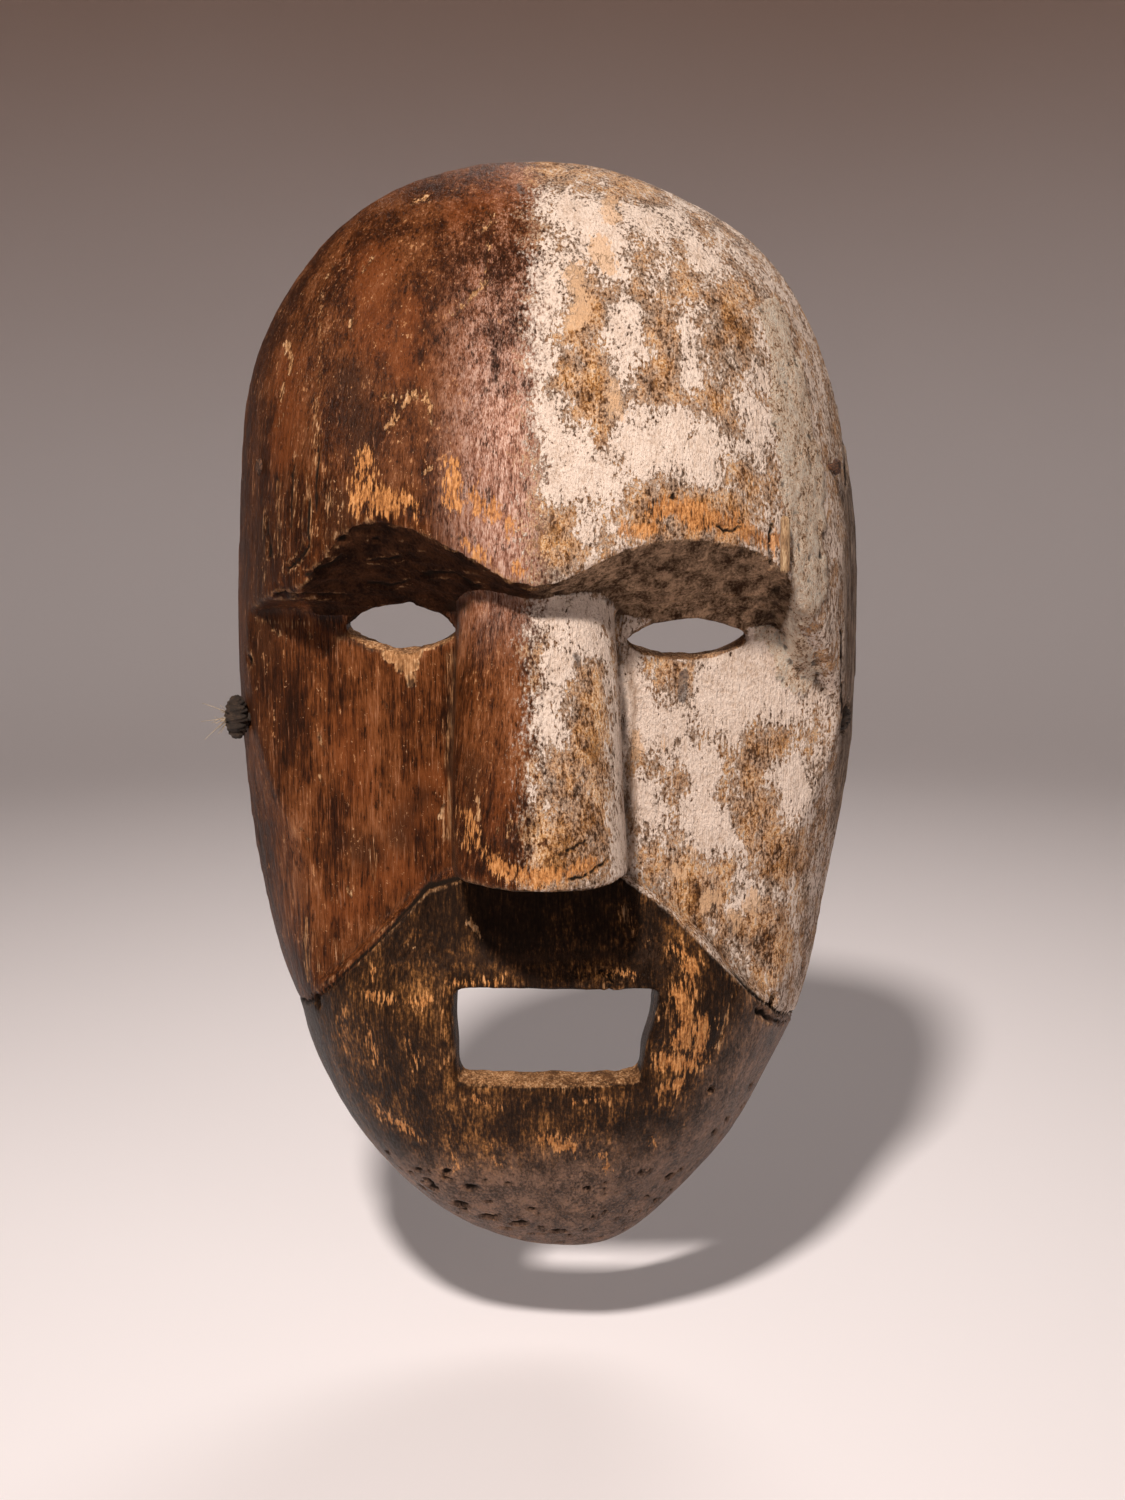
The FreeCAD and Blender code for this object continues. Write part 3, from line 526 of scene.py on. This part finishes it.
def make_weathered(node, name, voxel, size, depth, seed):
    """A CAD node's shape with a rough, aged surface."""
    piece = remeshed(node, name, voxel)
    surface = Surface(piece)
    surface.points = surface.smoothed(surface.points, 2)
    surface.refresh()
    surface.push(depth * rough(surface.points, size, seed))
    surface.keep("hollow", surface.hollowness(3))
    return piece


def curve_of(route):
    """A NURBS curve with the route's points as its control points."""
    data = bpy.data.curves.new("route", "CURVE")
    data.dimensions = "3D"
    spline = data.splines.new("NURBS")
    spline.points.add(len(route) - 1)
    for point, place in zip(spline.points, route):
        point.co = (*(Vector(place) * MM), 1)
    spline.order_u = 3
    spline.use_endpoint_u = True
    spline.resolution_u = 24
    return data


def line_of(route):
    """Points 0.4 mm apart along the route's curve."""
    spacing = 0.4
    holder = bpy.data.objects.new("line", curve_of(route))
    mesh = bpy.data.meshes.new_from_object(holder)
    points = np.array([v.co for v in mesh.vertices], float) / MM
    bpy.data.objects.remove(holder)
    gaps = np.linalg.norm(np.diff(points, axis=0), axis=1)
    along = np.concatenate([[0], np.cumsum(gaps)])
    places = np.clip(np.arange(0, along[-1] + spacing / 2, spacing), 0, along[-1])
    return np.column_stack([np.interp(places, along, points[:, axis]) for axis in range(3)])


def tube(line, radius, lobes=0, sides=20, taper=0):
    """Points and faces of a closed tube; with lobes, it is twisted from that many strands."""
    pitch = 7
    ahead = np.gradient(line, axis=0)
    ahead /= np.linalg.norm(ahead, axis=1)[:, None]
    up = np.array([0.2, 0.3, 0.93])
    points, turned = [], 0
    for number, (place, forward) in enumerate(zip(line, ahead)):
        if number:
            turned += np.linalg.norm(place - line[number - 1]) / pitch * 2 * math.pi
        side = np.cross(forward, up)
        side /= np.linalg.norm(side)
        up = np.cross(side, forward)
        share = number / (len(line) - 1)
        size = radius * (1 - taper * share)
        for corner in range(sides):
            angle = 2 * math.pi * corner / sides
            bulge = 1
            if lobes:
                bulge = 0.72 + 0.28 * abs(math.sin(lobes * (angle - turned / lobes) / 2)) ** 0.6
            points.append(place + size * bulge * (math.cos(angle) * side + math.sin(angle) * up))
    faces = wall_between(len(line), sides)
    faces.append(tuple(range(sides))[::-1])
    faces.append(tuple(range(len(points) - sides, len(points))))
    return points, faces


def make_cord():
    """The cord: three twisted strands along the route's smooth line."""
    line = line_of(CORD_ROUTE)
    return add_mesh("cord", *tube(line, CORD_RADIUS, lobes=3)), line


def make_knot(name, node):
    """A tight knot that fills its CAD solid: a twisted cord wound over itself."""
    piece = remeshed(node, name, 0.2)
    surface = Surface(piece)
    low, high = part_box(node)
    x, y, z = (surface.points - np.array((low + high) / 2) / MM).T
    angle = np.arctan2(y, x)
    coil = np.sin(angle + 1.1 * z + 0.8 * np.sin(2 * angle))
    strand = np.sin(3 * angle - 4.6 * z)
    grain = rough(surface.points, 0.8, 71)
    surface.push(0.8 * np.abs(coil) ** 0.6 - 0.8 + 0.16 * strand + 0.08 * grain)
    return piece


def make_fray():
    """Pale, thin fibres that spring from the left knot."""
    low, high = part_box("cord_knot_left")
    root = np.array((low + high) / 2) / MM - (1.5, 0, 0)
    random = np.random.default_rng(7)
    points, faces = [], []
    for _ in range(22):
        angle = random.uniform(0, 2 * math.pi)
        away = np.array([-0.62, 0.75 * math.cos(angle), 0.75 * math.sin(angle)])
        bend = random.normal(0, 0.9, 3)
        length = random.uniform(4.5, 7)
        share = np.linspace(0, 1, 14)[:, None]
        line = root + length * (away * share + 0.35 * bend * share ** 2)
        strand, sides = tube(line, 0.14, sides=6, taper=0.6)
        faces += [tuple(len(points) + corner for corner in face) for face in sides]
        points += strand
    return add_mesh("cord_fray", points, faces)


# ---- materials ----

class Paint:
    """Builds one node material; places in it are in millimetres of the part's frame."""

    def __init__(self, name, roughness=0.6):
        self.material = bpy.data.materials.new(name)
        self.material.use_nodes = True
        self.nodes = self.material.node_tree.nodes
        self.links = self.material.node_tree.links
        self.shader = self.nodes["Principled BSDF"]
        self.shader.inputs["Roughness"].default_value = roughness
        coordinates = self.nodes.new("ShaderNodeTexCoord")
        scale = self.nodes.new("ShaderNodeVectorMath")
        scale.operation = "SCALE"
        scale.inputs["Scale"].default_value = 1 / MM
        self.links.new(coordinates.outputs["Object"], scale.inputs[0])
        self.place = scale.outputs[0]

    def put(self, socket, value):
        """Links a socket, or sets a number or a colour."""
        if isinstance(value, bpy.types.NodeSocket):
            self.links.new(value, socket)
        elif isinstance(value, tuple):
            socket.default_value = (*value, 1)
        else:
            socket.default_value = value

    def math(self, operation, first, second=0):
        node = self.nodes.new("ShaderNodeMath")
        node.operation = operation
        self.put(node.inputs[0], first)
        self.put(node.inputs[1], second)
        return node.outputs[0]

    def chain(self, operation, values):
        """One operation over several values, from left to right."""
        total = values[0]
        for value in values[1:]:
            total = self.math(operation, total, value)
        return total

    def add(self, *values):
        return self.chain("ADD", values)

    def times(self, *values):
        return self.chain("MULTIPLY", values)

    def most(self, *values):
        return self.chain("MAXIMUM", values)

    def field(self, name):
        """A value kept on the mesh."""
        node = self.nodes.new("ShaderNodeAttribute")
        node.attribute_name = name
        return node.outputs["Fac"]

    def noise(self, size, detail=3, roughness=0.55, shift=0, distortion=0):
        """Noise from about -1 to 1; size is in millimetres, one or one for each axis."""
        size = size if isinstance(size, tuple) else (size, size, size)
        mapping = self.nodes.new("ShaderNodeMapping")
        mapping.inputs["Location"].default_value = (shift, 0.7 * shift, 1.3 * shift)
        mapping.inputs["Scale"].default_value = tuple(1 / part for part in size)
        self.links.new(self.place, mapping.inputs["Vector"])
        node = self.nodes.new("ShaderNodeTexNoise")
        node.inputs["Scale"].default_value = 1
        node.inputs["Detail"].default_value = detail
        node.inputs["Roughness"].default_value = roughness
        node.inputs["Distortion"].default_value = distortion
        self.links.new(mapping.outputs[0], node.inputs["Vector"])
        centred = self.math("SUBTRACT", node.outputs["Fac"], 0.5)
        return self.math("MULTIPLY", centred, 4)

    def step(self, value, low, high):
        """0 below low, 1 above high, smooth between."""
        node = self.nodes.new("ShaderNodeMapRange")
        node.interpolation_type = "SMOOTHSTEP"
        self.put(node.inputs["Value"], value)
        node.inputs["From Min"].default_value = low
        node.inputs["From Max"].default_value = high
        return node.outputs["Result"]

    def mix(self, share, first, second):
        """A colour between two others."""
        node = self.nodes.new("ShaderNodeMix")
        node.data_type = "RGBA"
        self.put(node.inputs["Factor"], share)
        self.put(node.inputs[6], first)
        self.put(node.inputs[7], second)
        return node.outputs[2]

    def blend(self, share, first, second):
        """A number between two others."""
        node = self.nodes.new("ShaderNodeMix")
        self.put(node.inputs["Factor"], share)
        self.put(node.inputs[2], first)
        self.put(node.inputs[3], second)
        return node.outputs[0]

    def sum(self, *pairs):
        """Values added together; a pair is a value and its weights."""
        return self.add(*[self.times(*pair) if isinstance(pair, tuple) else pair for pair in pairs])

    def where(self, low, high, *pairs):
        """0 to 1 as a weighted sum goes from low to high."""
        return self.step(self.sum(*pairs), low, high)

    def over(self, colour, *layers):
        """A colour with others laid over it, each with where it lies and how thick."""
        for share, weight, top in layers:
            colour = self.mix(self.times(share, weight), colour, top)
        return colour

    def ramp(self, value, *stops):
        """Colours at positions along a value."""
        node = self.nodes.new("ShaderNodeValToRGB")
        elements = node.color_ramp.elements
        while len(elements) < len(stops):
            elements.new(0.5)
        for element, (position, colour) in zip(elements, stops):
            element.position = position
            element.color = (*colour, 1)
        self.put(node.inputs[0], value)
        return node.outputs["Color"]

    def bump(self, height, depth):
        """Fine relief; height is about -1 to 1 and depth is in millimetres."""
        node = self.nodes.new("ShaderNodeBump")
        node.inputs["Distance"].default_value = depth * MM
        self.put(node.inputs["Height"], height)
        self.links.new(node.outputs[0], self.shader.inputs["Normal"])

    def finish(self, colour, roughness):
        self.put(self.shader.inputs["Base Color"], colour)
        self.put(self.shader.inputs["Roughness"], roughness)
        return self.material


class Skin(Paint):
    """The mask's painted wood, with the noises that all its layers share."""

    def __init__(self, name):
        super().__init__(name)
        self.fibre = self.noise((0.5, 0.8, 8), 3, 0.6, 1)
        self.grain = self.noise((1.3, 2, 26), 3, 0.6, 2)
        self.broad = self.noise((11, 16, 34), 3, 0.5, 3)
        self.patch = self.noise((5, 6, 8), 6, 0.68, 4)
        self.speck = self.noise((0.75, 0.9, 1.2), 3, 0.62, 5)
        self.grit = self.noise(0.5, 3, 0.7, 6)
        self.tear = self.noise((0.9, 1.2, 5.2), 4, 0.65, 7)
        self.hair = self.noise((0.28, 0.45, 3.6), 3, 0.7, 10)
        self.ragged = self.sum((self.tear, 0.75), (self.patch, 0.8))
        parts = self.nodes.new("ShaderNodeSeparateXYZ")
        self.links.new(self.place, parts.inputs[0])
        self.x, _, self.z = parts.outputs

    def mark(self, name, ragged, shift, soft=0.3):
        """Where a kind of stroke lies, with an edge as ragged as torn paint."""
        return self.where(0, soft, (self.field(name), 0.8), (self.ragged, ragged), shift)


def brown(p):
    """The left half: old polished brown, redder or darker in places, with a painted highlight on
    the forehead and painted shade at the far left.
    """
    tone = p.sum((p.broad, 0.5), (p.grain, 0.32), (p.fibre, 0.3), (p.hair, 0.36),
                 (p.patch, 0.4), (p.tear, 0.24))
    colour = p.ramp(
        p.step(tone, -0.95, 1),
        (0, (0.01, 0.003, 0.001)), (0.3, (0.048, 0.013, 0.0035)),
        (0.55, (0.122, 0.036, 0.009)), (0.8, (0.2, 0.066, 0.021)), (1, (0.32, 0.135, 0.062)),
    )
    # a painted highlight: a lighter, pinker colour in a band down the middle of the forehead
    highlight_band = p.times(p.step(p.x, -34, -12), p.step(p.z, 20, 66),
                     p.where(-3, -1.4, tone, (p.z, -0.02)))
    painted_highlight = p.ramp(
        p.where(-0.75, 0.85, (p.hair, 0.8), (p.grain, 0.5), (p.speck, 0.3)),
        (0, (0.16, 0.055, 0.032)), (0.4, (0.44, 0.22, 0.15)), (1, (0.84, 0.6, 0.5)),
    )
    high = p.times(p.step(p.z, 30, 70), p.step(p.x, -6, -34))
    # painted shade down the far left side, which turns away from the light
    edge = p.where(-62, -86, p.x, (p.grain, 6))
    rust = p.where(-2, 7, p.field("rust"), (p.broad, 4), (p.grain, 2.6), (p.tear, 1.2))
    dark = p.where(-2, 6, p.field("darker"), (p.broad, 3.5), (p.grain, 2.4), (p.tear, 1.2))
    scratch = p.where(-0.52, -0.8, p.hair, (p.fibre, 0.5), (p.patch, 0.3))
    pale = p.where(0.55, 0.85, (p.fibre, 0.8), (p.hair, 0.6), (p.grain, 0.5))
    torn = p.sum((p.tear, 0.8), (p.patch, 0.75), (p.speck, 0.35))
    nicks, flecks = p.step(torn, -0.48, -0.7), p.step(torn, 0.66, 0.82)
    dots = p.where(0.82, 0.98, p.speck, (p.grit, 0.6), (p.patch, 0.3))
    return p.over(
        colour, (highlight_band, 0.85, painted_highlight), (high, 0.3, (0.03, 0.009, 0.003)),
        (edge, 0.5, (0.035, 0.012, 0.005)), (rust, 0.5, (0.19, 0.05, 0.012)),
        (dark, 0.7, (0.028, 0.01, 0.004)), (scratch, 0.7, (0.012, 0.004, 0.002)),
        (pale, 0.45, (0.36, 0.18, 0.1)), (nicks, 0.65, (0.014, 0.005, 0.002)),
        (flecks, 0.7, (0.44, 0.21, 0.09)), (dots, 0.7, (0.56, 0.32, 0.17)),
    )


def worn_white(p):
    """The right half: white paint worn through to ochre wood, and how much paint is left."""
    drift = p.noise((18, 18, 30), 4, 0.6, 9)
    tone = p.sum((p.patch, 0.95), (p.speck, 0.7), (p.tear, 0.6), (p.grit, 0.35), (drift, 0.4))
    ochre = p.ramp(
        p.step(tone, -1.15, 1.15),
        (0, (0.028, 0.011, 0.004)), (0.28, (0.12, 0.05, 0.016)), (0.5, (0.31, 0.138, 0.043)),
        (0.75, (0.56, 0.3, 0.12)), (1, (0.8, 0.6, 0.41)),
    )
    tint = p.where(-1.6, 0.6, (p.patch, 0.7), (p.speck, 0.8))
    white = p.mix(tint, (0.46, 0.31, 0.21), (0.77, 0.64, 0.55))
    flaky = p.noise((6.5, 7, 10), 8, 0.76, 8)
    amount = p.sum(
        (p.step(p.field("white"), -7, 4), 0.75), (p.step(p.field("bare"), -7, 5), -0.75),
        (p.step(p.field("white_side"), 13, -2), -0.45), (p.field("grime_and_shade"), -0.3),
        (drift, 0.3), (flaky, 0.95), (p.speck, 0.55), (p.tear, 0.5), 0.17,
    )
    thick = p.step(amount, 0, 0.34)
    wash = p.times(p.step(amount, -1, 0.1), p.step(p.speck, -0.9, 0.5))
    dirt = p.where(0.3, 0.6, (flaky, -0.7), (p.speck, 0.75), (p.tear, 0.4))
    pits = p.times(p.step(p.grit, -0.4, -0.65), p.step(flaky, 1.1, -0.2))
    colour = p.over(
        ochre, (wash, 0.62, (0.66, 0.49, 0.365)), (dirt, 0.7, (0.105, 0.044, 0.014)),
        (thick, 0.95, white), (pits, 0.75, (0.16, 0.075, 0.03)),
        (p.mark("peach", 2, 0.1, 0.7), 0.75, (0.66, 0.42, 0.25)),
    )
    return colour, thick


def dark_beard(p):
    """The beard and moustache: nearly black, greyer under the chin."""
    near = p.step(p.field("orange"), -9, 1)
    tone = p.sum((p.broad, 0.5), (p.tear, 0.6), (p.speck, 0.4), (p.patch, 0.35),
                 (p.fibre, 0.3), (near, 0.28))
    dark = p.ramp(
        p.step(tone, -0.95, 1.38),
        (0, (0.006, 0.0025, 0.001)), (0.38, (0.022, 0.0095, 0.0038)),
        (0.6, (0.058, 0.024, 0.008)), (0.8, (0.17, 0.072, 0.021)), (1, (0.44, 0.2, 0.065)),
    )
    chin = p.where(110, 130, (p.z, -1), (p.x, 0.12), (p.patch, 4))
    jaw = p.where(92, 112, p.x, (p.z, -0.55), (p.patch, 4))
    tone = p.where(-0.8, 0.8, (p.patch, 0.9), (p.speck, 0.8))
    grey = p.mix(tone, (0.055, 0.032, 0.021), (0.31, 0.185, 0.125))
    return p.over(dark, (p.most(chin, jaw), 0.8, grey))


def wood(p, *stops):
    """Bare wood in shades that follow the fibres."""
    tone = p.sum((p.fibre, 0.6), (p.tear, 0.4), (p.speck, 0.4), (p.patch, 0.35))
    return p.ramp(p.step(tone, -0.9, 0.9), *stops)


def painted_wood():
    """The mask: brown polished paint, worn white paint, a dark beard and bare wood."""
    p = Skin("painted_wood")
    tan = wood(p, (0, (0.1, 0.042, 0.016)), (0.4, (0.32, 0.15, 0.06)),
               (0.75, (0.52, 0.28, 0.13)), (1, (0.7, 0.46, 0.27)))
    orange = wood(p, (0, (0.08, 0.028, 0.009)), (0.3, (0.29, 0.11, 0.032)),
                  (0.65, (0.56, 0.24, 0.075)), (1, (0.74, 0.38, 0.16)))
    raw = wood(p, (0, (0.055, 0.028, 0.015)), (0.4, (0.13, 0.07, 0.036)),
               (0.7, (0.22, 0.125, 0.067)), (1, (0.36, 0.23, 0.135)))
    cream = p.ramp(
        p.where(-0.8, 0.5, (p.speck, 0.6), (p.patch, 0.55), (p.grit, 0.5)),
        (0, (0.1, 0.05, 0.022)), (0.22, (0.46, 0.27, 0.155)), (0.48, (0.86, 0.63, 0.45)),
        (1, (0.95, 0.82, 0.68)),
    )
    white, thick = worn_white(p)

    split = p.where(-3, 4.5, p.field("white_side"), (p.speck, 5), (p.ragged, 5))
    colour = p.mix(split, brown(p), white)
    filler = p.where(0.35, 0.6, p.field("filler"), (p.patch, 0.16), (p.speck, 0.12))
    colour = p.mix(filler, colour, cream)
    # dirty wood at the far right, where the paint is rubbed off
    side = p.times(p.where(82, 87, p.x, (p.grain, 1.6)), p.step(p.z, -50, -20))
    side_tone = p.where(-0.6, 1, p.grain, (p.fibre, 0.7), (p.patch, 0.6))
    side_colour = p.mix(side_tone, (0.075, 0.045, 0.029), (0.42, 0.31, 0.23))
    colour = p.over(colour, (side, 0.85, side_colour))

    # the beard, and the marks over all the paint
    beard_share = p.where(-0.6, 0.5, p.field("beard"), (p.ragged, 0.45))
    colour = p.mix(beard_share, colour, dark_beard(p))
    colour = p.over(colour, (p.mark("smears", 1, 0), 0.7, (0.1, 0.085, 0.08)))
    worn = p.where(0.2, 1.3, (p.field("orange"), 0.7), (p.tear, 2), (p.fibre, 1.1),
                   (p.patch, 1.5), (beard_share, -0.5))
    colour = p.over(colour, (worn, 0.9, orange))
    chips = p.mark("chips", 1.35, -0.45)
    streaks = p.where(0.4, 1.3, (p.field("streaks"), 0.6), p.fibre, (p.hair, 0.8), (p.grain, 0.8))
    streaks = p.times(streaks, 0.6)
    bare = p.most(chips, p.mark("flake", 0.8, -0.1), streaks)
    colour = p.mix(bare, colour, tan)

    # painted shade on the undersides of the brow and nose
    tone = p.where(-0.75, 0.95, p.patch, (p.speck, 0.6))
    # painted shade under the brow: near black on the left, paler under the white right half
    shade_under_left = p.mix(tone, (0.012, 0.004, 0.0015), (0.07, 0.026, 0.01))
    shade_under_right = p.mix(tone, (0.04, 0.018, 0.008), (0.5, 0.32, 0.2))
    under = p.mix(p.where(-6, 6, p.x, (p.patch, 3)), shade_under_left, shade_under_right)
    below = p.where(0.3, 0.6, p.field("under_brow"), (p.ragged, 0.12))
    colour = p.mix(below, colour, under)
    # painted shade under the nose, near black
    colour = p.mix(p.step(p.field("under_nose"), 0.3, 0.7), colour, (0.03, 0.016, 0.009))
    # painted shadow of the nose on the upper lip, darker over the beard
    lip_shadow = p.times(p.step(p.z, -62, -50), p.step(p.math("ABSOLUTE", p.x), 34, 22))
    lip_shadow = p.times(beard_share, lip_shadow)
    colour = p.over(colour, (lip_shadow, 0.3, (0.012, 0.006, 0.003)))

    # dirt and painted shade in the hollows, and wear on the ridges
    grime_and_shade = p.where(0.15, 0.9, p.field("grime_and_shade"), (p.speck, 0.2))
    colour = p.over(colour, (grime_and_shade, 0.75, (0.025, 0.013, 0.008)))
    rubbed = p.where(0.5, 1.2, (p.field("grime_and_shade"), -1), (p.ragged, 0.45))
    colour = p.over(colour, (rubbed, 0.5, tan))
    # dark lines in the corners beside the nose and round the openings, partly dirt and partly
    # painted shade
    crease = p.where(-1, 0.8, (p.field("creases"), 0.8), (p.ragged, 0.7))
    painted = p.times(split, p.math("SUBTRACT", 1, beard_share))
    dirt = p.mix(painted, (0.03, 0.014, 0.007), (0.2, 0.11, 0.055))
    colour = p.over(colour, (crease, 0.75, dirt))
    # near black in the cracks, dents, pits and the beard's groove: dirt in the cracks, and painted
    # shade in the recesses
    scars_and_shade = p.step(p.field("scars_and_shade"), 0.3, 0.75)
    colour = p.mix(scars_and_shade, colour, (0.012, 0.007, 0.004))

    # the raw wood of the hollow, and the pale ledges of the openings
    # painted shade: the raw wood is darker where the hollow is deepest
    deep = p.where(0, 0.35, p.field("broad_hollow"), (p.patch, 0.1))
    raw = p.over(raw, (deep, 0.5, (0.03, 0.017, 0.011)))
    lids = p.where(0.25, 0.75, p.field("lids"), (p.ragged, 0.3))
    outside = p.where(0.35, 0.65, p.field("outside"), (p.ragged, 0.1))
    colour = p.mix(outside, raw, colour)
    ledge = p.mix(p.where(-0.9, 0.5, p.patch, (p.speck, 0.6)), (0.1, 0.045, 0.019), tan)
    colour = p.over(colour, (lids, 0.85, ledge))

    # polished paint shines a little, and white paint, filler and bare wood do not
    matt = p.most(painted, filler)
    gloss = p.sum(0.4, (p.fibre, 0.05), (p.patch, 0.07))
    roughness = p.blend(matt, gloss, p.sum(0.72, (p.speck, 0.08)))
    roughness = p.blend(p.most(bare, scars_and_shade), roughness, 0.8)
    roughness = p.blend(outside, 0.82, roughness)
    dull = p.most(lids, below, lip_shadow)
    roughness = p.blend(dull, roughness, 0.95)
    relief = p.sum(
        (p.fibre, 0.35), (p.grain, 0.45), (p.tear, 0.3), (p.hair, 0.3), (bare, -1.2), (worn, -0.5),
        (p.speck, p.blend(matt, 0.2, 0.8)), (filler, p.grit, 2.4), (thick, split, 0.9),
    )
    p.bump(relief, 0.26)
    p.shader.inputs["Specular IOR Level"].default_value = 0.11
    return p.finish(colour, roughness)


def plain_wood():
    """The peg: pale, dirty split wood."""
    p = Paint("peg_wood")
    fibre = p.noise((0.25, 0.25, 3), 3, 0.6, 11)
    patch = p.noise((1.2, 1.2, 3), 3, 0.6, 12)
    colour = p.ramp(
        p.where(-1.5, 1.5, fibre, (patch, 0.8)),
        (0, (0.09, 0.042, 0.018)), (0.45, (0.33, 0.19, 0.09)), (1, (0.62, 0.45, 0.27)),
    )
    # darker in the peg's hollows: partly dirt, partly painted shade
    grime_and_shade = p.step(p.field("hollow"), 0, 0.06)
    p.bump(fibre, 0.12)
    return p.finish(p.over(colour, (grime_and_shade, 0.7, (0.04, 0.02, 0.012))), 0.75)


def old_iron():
    """The nails: dark iron with rust."""
    p = Paint("old_iron", 0.6)
    rust = p.noise(0.7, 4, 0.65, 21)
    pits = p.noise(0.25, 3, 0.6, 22)
    colour = p.ramp(
        p.where(-1.4, 1.4, rust, (pits, 0.5)),
        (0, (0.02, 0.015, 0.013)), (0.5, (0.07, 0.035, 0.022)), (1, (0.22, 0.085, 0.032)),
    )
    metal = p.step(rust, 0.5, -0.6)
    p.put(p.shader.inputs["Metallic"], p.times(metal, 0.8))
    p.bump(pits, 0.1)
    return p.finish(colour, p.blend(metal, 0.85, 0.45))


def fibre_cord(name, dark, mid, pale):
    """Twisted plant fibre in shades from dark to pale."""
    p = Paint(name, 0.85)
    hairs = p.noise((0.5, 0.18, 0.18), 3, 0.7, 31, 0.6)
    dirt = p.noise(2.2, 3, 0.6, 32)
    tone = p.where(-1.5, 1.5, hairs, (dirt, 0.7))
    colour = p.ramp(tone, (0, dark), (0.5, mid), (1, pale))
    p.bump(hairs, 0.1)
    return p.finish(colour, p.sum(0.82, (hairs, 0.05)))


def dress(piece, material, node):
    """Gives a piece its material and its place in the part."""
    piece.data.materials.clear()
    piece.data.materials.append(material)
    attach(piece, "root")
    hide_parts(node)


# ---- the studio ----

def make_studio():
    """A pale floor that curves up into a round wall, open above."""
    floor_level, wall_radius, cove, height = -192, 1700, 700, 2300
    profile = [(wall_radius * share, floor_level) for share in (0, 0.2, 0.4, 0.55)]
    for angle in np.linspace(0, math.pi / 2, 14):
        profile.append((wall_radius - cove + cove * math.sin(angle),
                        floor_level + cove * (1 - math.cos(angle))))
    profile.append((wall_radius, height))
    sides = 96
    turns = [2 * math.pi * corner / sides for corner in range(sides)]
    points = [(radius * math.cos(turn), radius * math.sin(turn), level)
              for radius, level in profile for turn in turns]
    studio = add_mesh("studio", points, wall_between(len(profile), sides))
    p = Paint("studio_paper", 0.9)
    height_of = p.nodes.new("ShaderNodeSeparateXYZ")
    p.links.new(p.place, height_of.inputs[0])
    mottle = p.noise(600, 2, 0.5, 41)
    # painted shade: the wall's colour grows darker the higher it goes
    wall_shade = p.where(floor_level + 20, 700, height_of.outputs[2], (mottle, 30))
    colour = p.mix(wall_shade, (0.88, 0.85, 0.88), (0.42, 0.28, 0.22))
    studio.data.materials.append(p.finish(colour, 0.9))


def add_light(name, place, target, size, power, colour, spread):
    """A round soft light; its power is in watts and its spread in degrees."""
    data = bpy.data.lights.new(name, "AREA")
    data.shape = "DISK"
    data.size = size * MM
    data.energy = power
    data.color = colour
    data.spread = math.radians(spread)
    made = bpy.data.objects.new(name, data)
    made.location = Vector(place) * MM
    made.rotation_euler = (Vector(target) - Vector(place)).to_track_quat("-Z", "Y").to_euler()
    bpy.context.scene.collection.objects.link(made)


def make_lights():
    """A key light from above and a little left, and faint fills in front and behind."""
    add_light("key", place=(-230, -980, 1000), target=(0, 110, -30), size=130, power=8.4,
              colour=(1, 0.905, 0.83), spread=104)
    add_light("fill", place=(900, -1200, 300), target=(0, 0, 0), size=900, power=0.3,
              colour=(1, 0.9, 0.84), spread=50)
    add_light("back_fill", place=(380, 1250, 950), target=(0, 0, 0), size=900, power=1.2,
              colour=(1, 0.93, 0.88), spread=60)
    world = bpy.data.worlds.new("studio")
    world.use_nodes = True
    background = world.node_tree.nodes["Background"]
    background.inputs["Color"].default_value = (0.8, 0.72, 0.68, 1)
    background.inputs["Strength"].default_value = 0.006
    bpy.context.scene.world = world
    bpy.context.scene.view_settings.view_transform = "Standard"


# ---- everything together ----

make_camera()

cord, cord_line = make_cord()
left_knot = make_knot("cord_knot", "cord_knot_left")
right_knot = make_knot("cord_end_knot", "cord_knot_right")
fray = make_fray()
dark_fibre = fibre_cord(
    "cord_fibre", dark=(0.008, 0.005, 0.003), mid=(0.025, 0.014, 0.008), pale=(0.1, 0.06, 0.035)
)
pale_fibre = fibre_cord(
    "frayed_fibre", dark=(0.22, 0.15, 0.09), mid=(0.5, 0.38, 0.25), pale=(0.75, 0.62, 0.45)
)
dress(cord, dark_fibre, "hanging_cord")
dress(left_knot, dark_fibre, "cord_knot_left")
dress(right_knot, dark_fibre, "cord_knot_right")
dress(fray, pale_fibre, "cord_fray_left")

dress(make_shell(), painted_wood(), "mask_shell")
peg = make_weathered("brow_peg", "peg", 0.22, (0.9, 0.9, 3), 0.16, 51)
dress(peg, plain_wood(), "brow_peg")
iron = old_iron()
for side in ("left", "right"):
    nail = make_weathered(f"side_nail_{side}", f"nail_{side}", 0.25, 1.1, 0.14, 61)
    dress(nail, iron, f"side_nail_{side}")

make_studio()
make_lights()
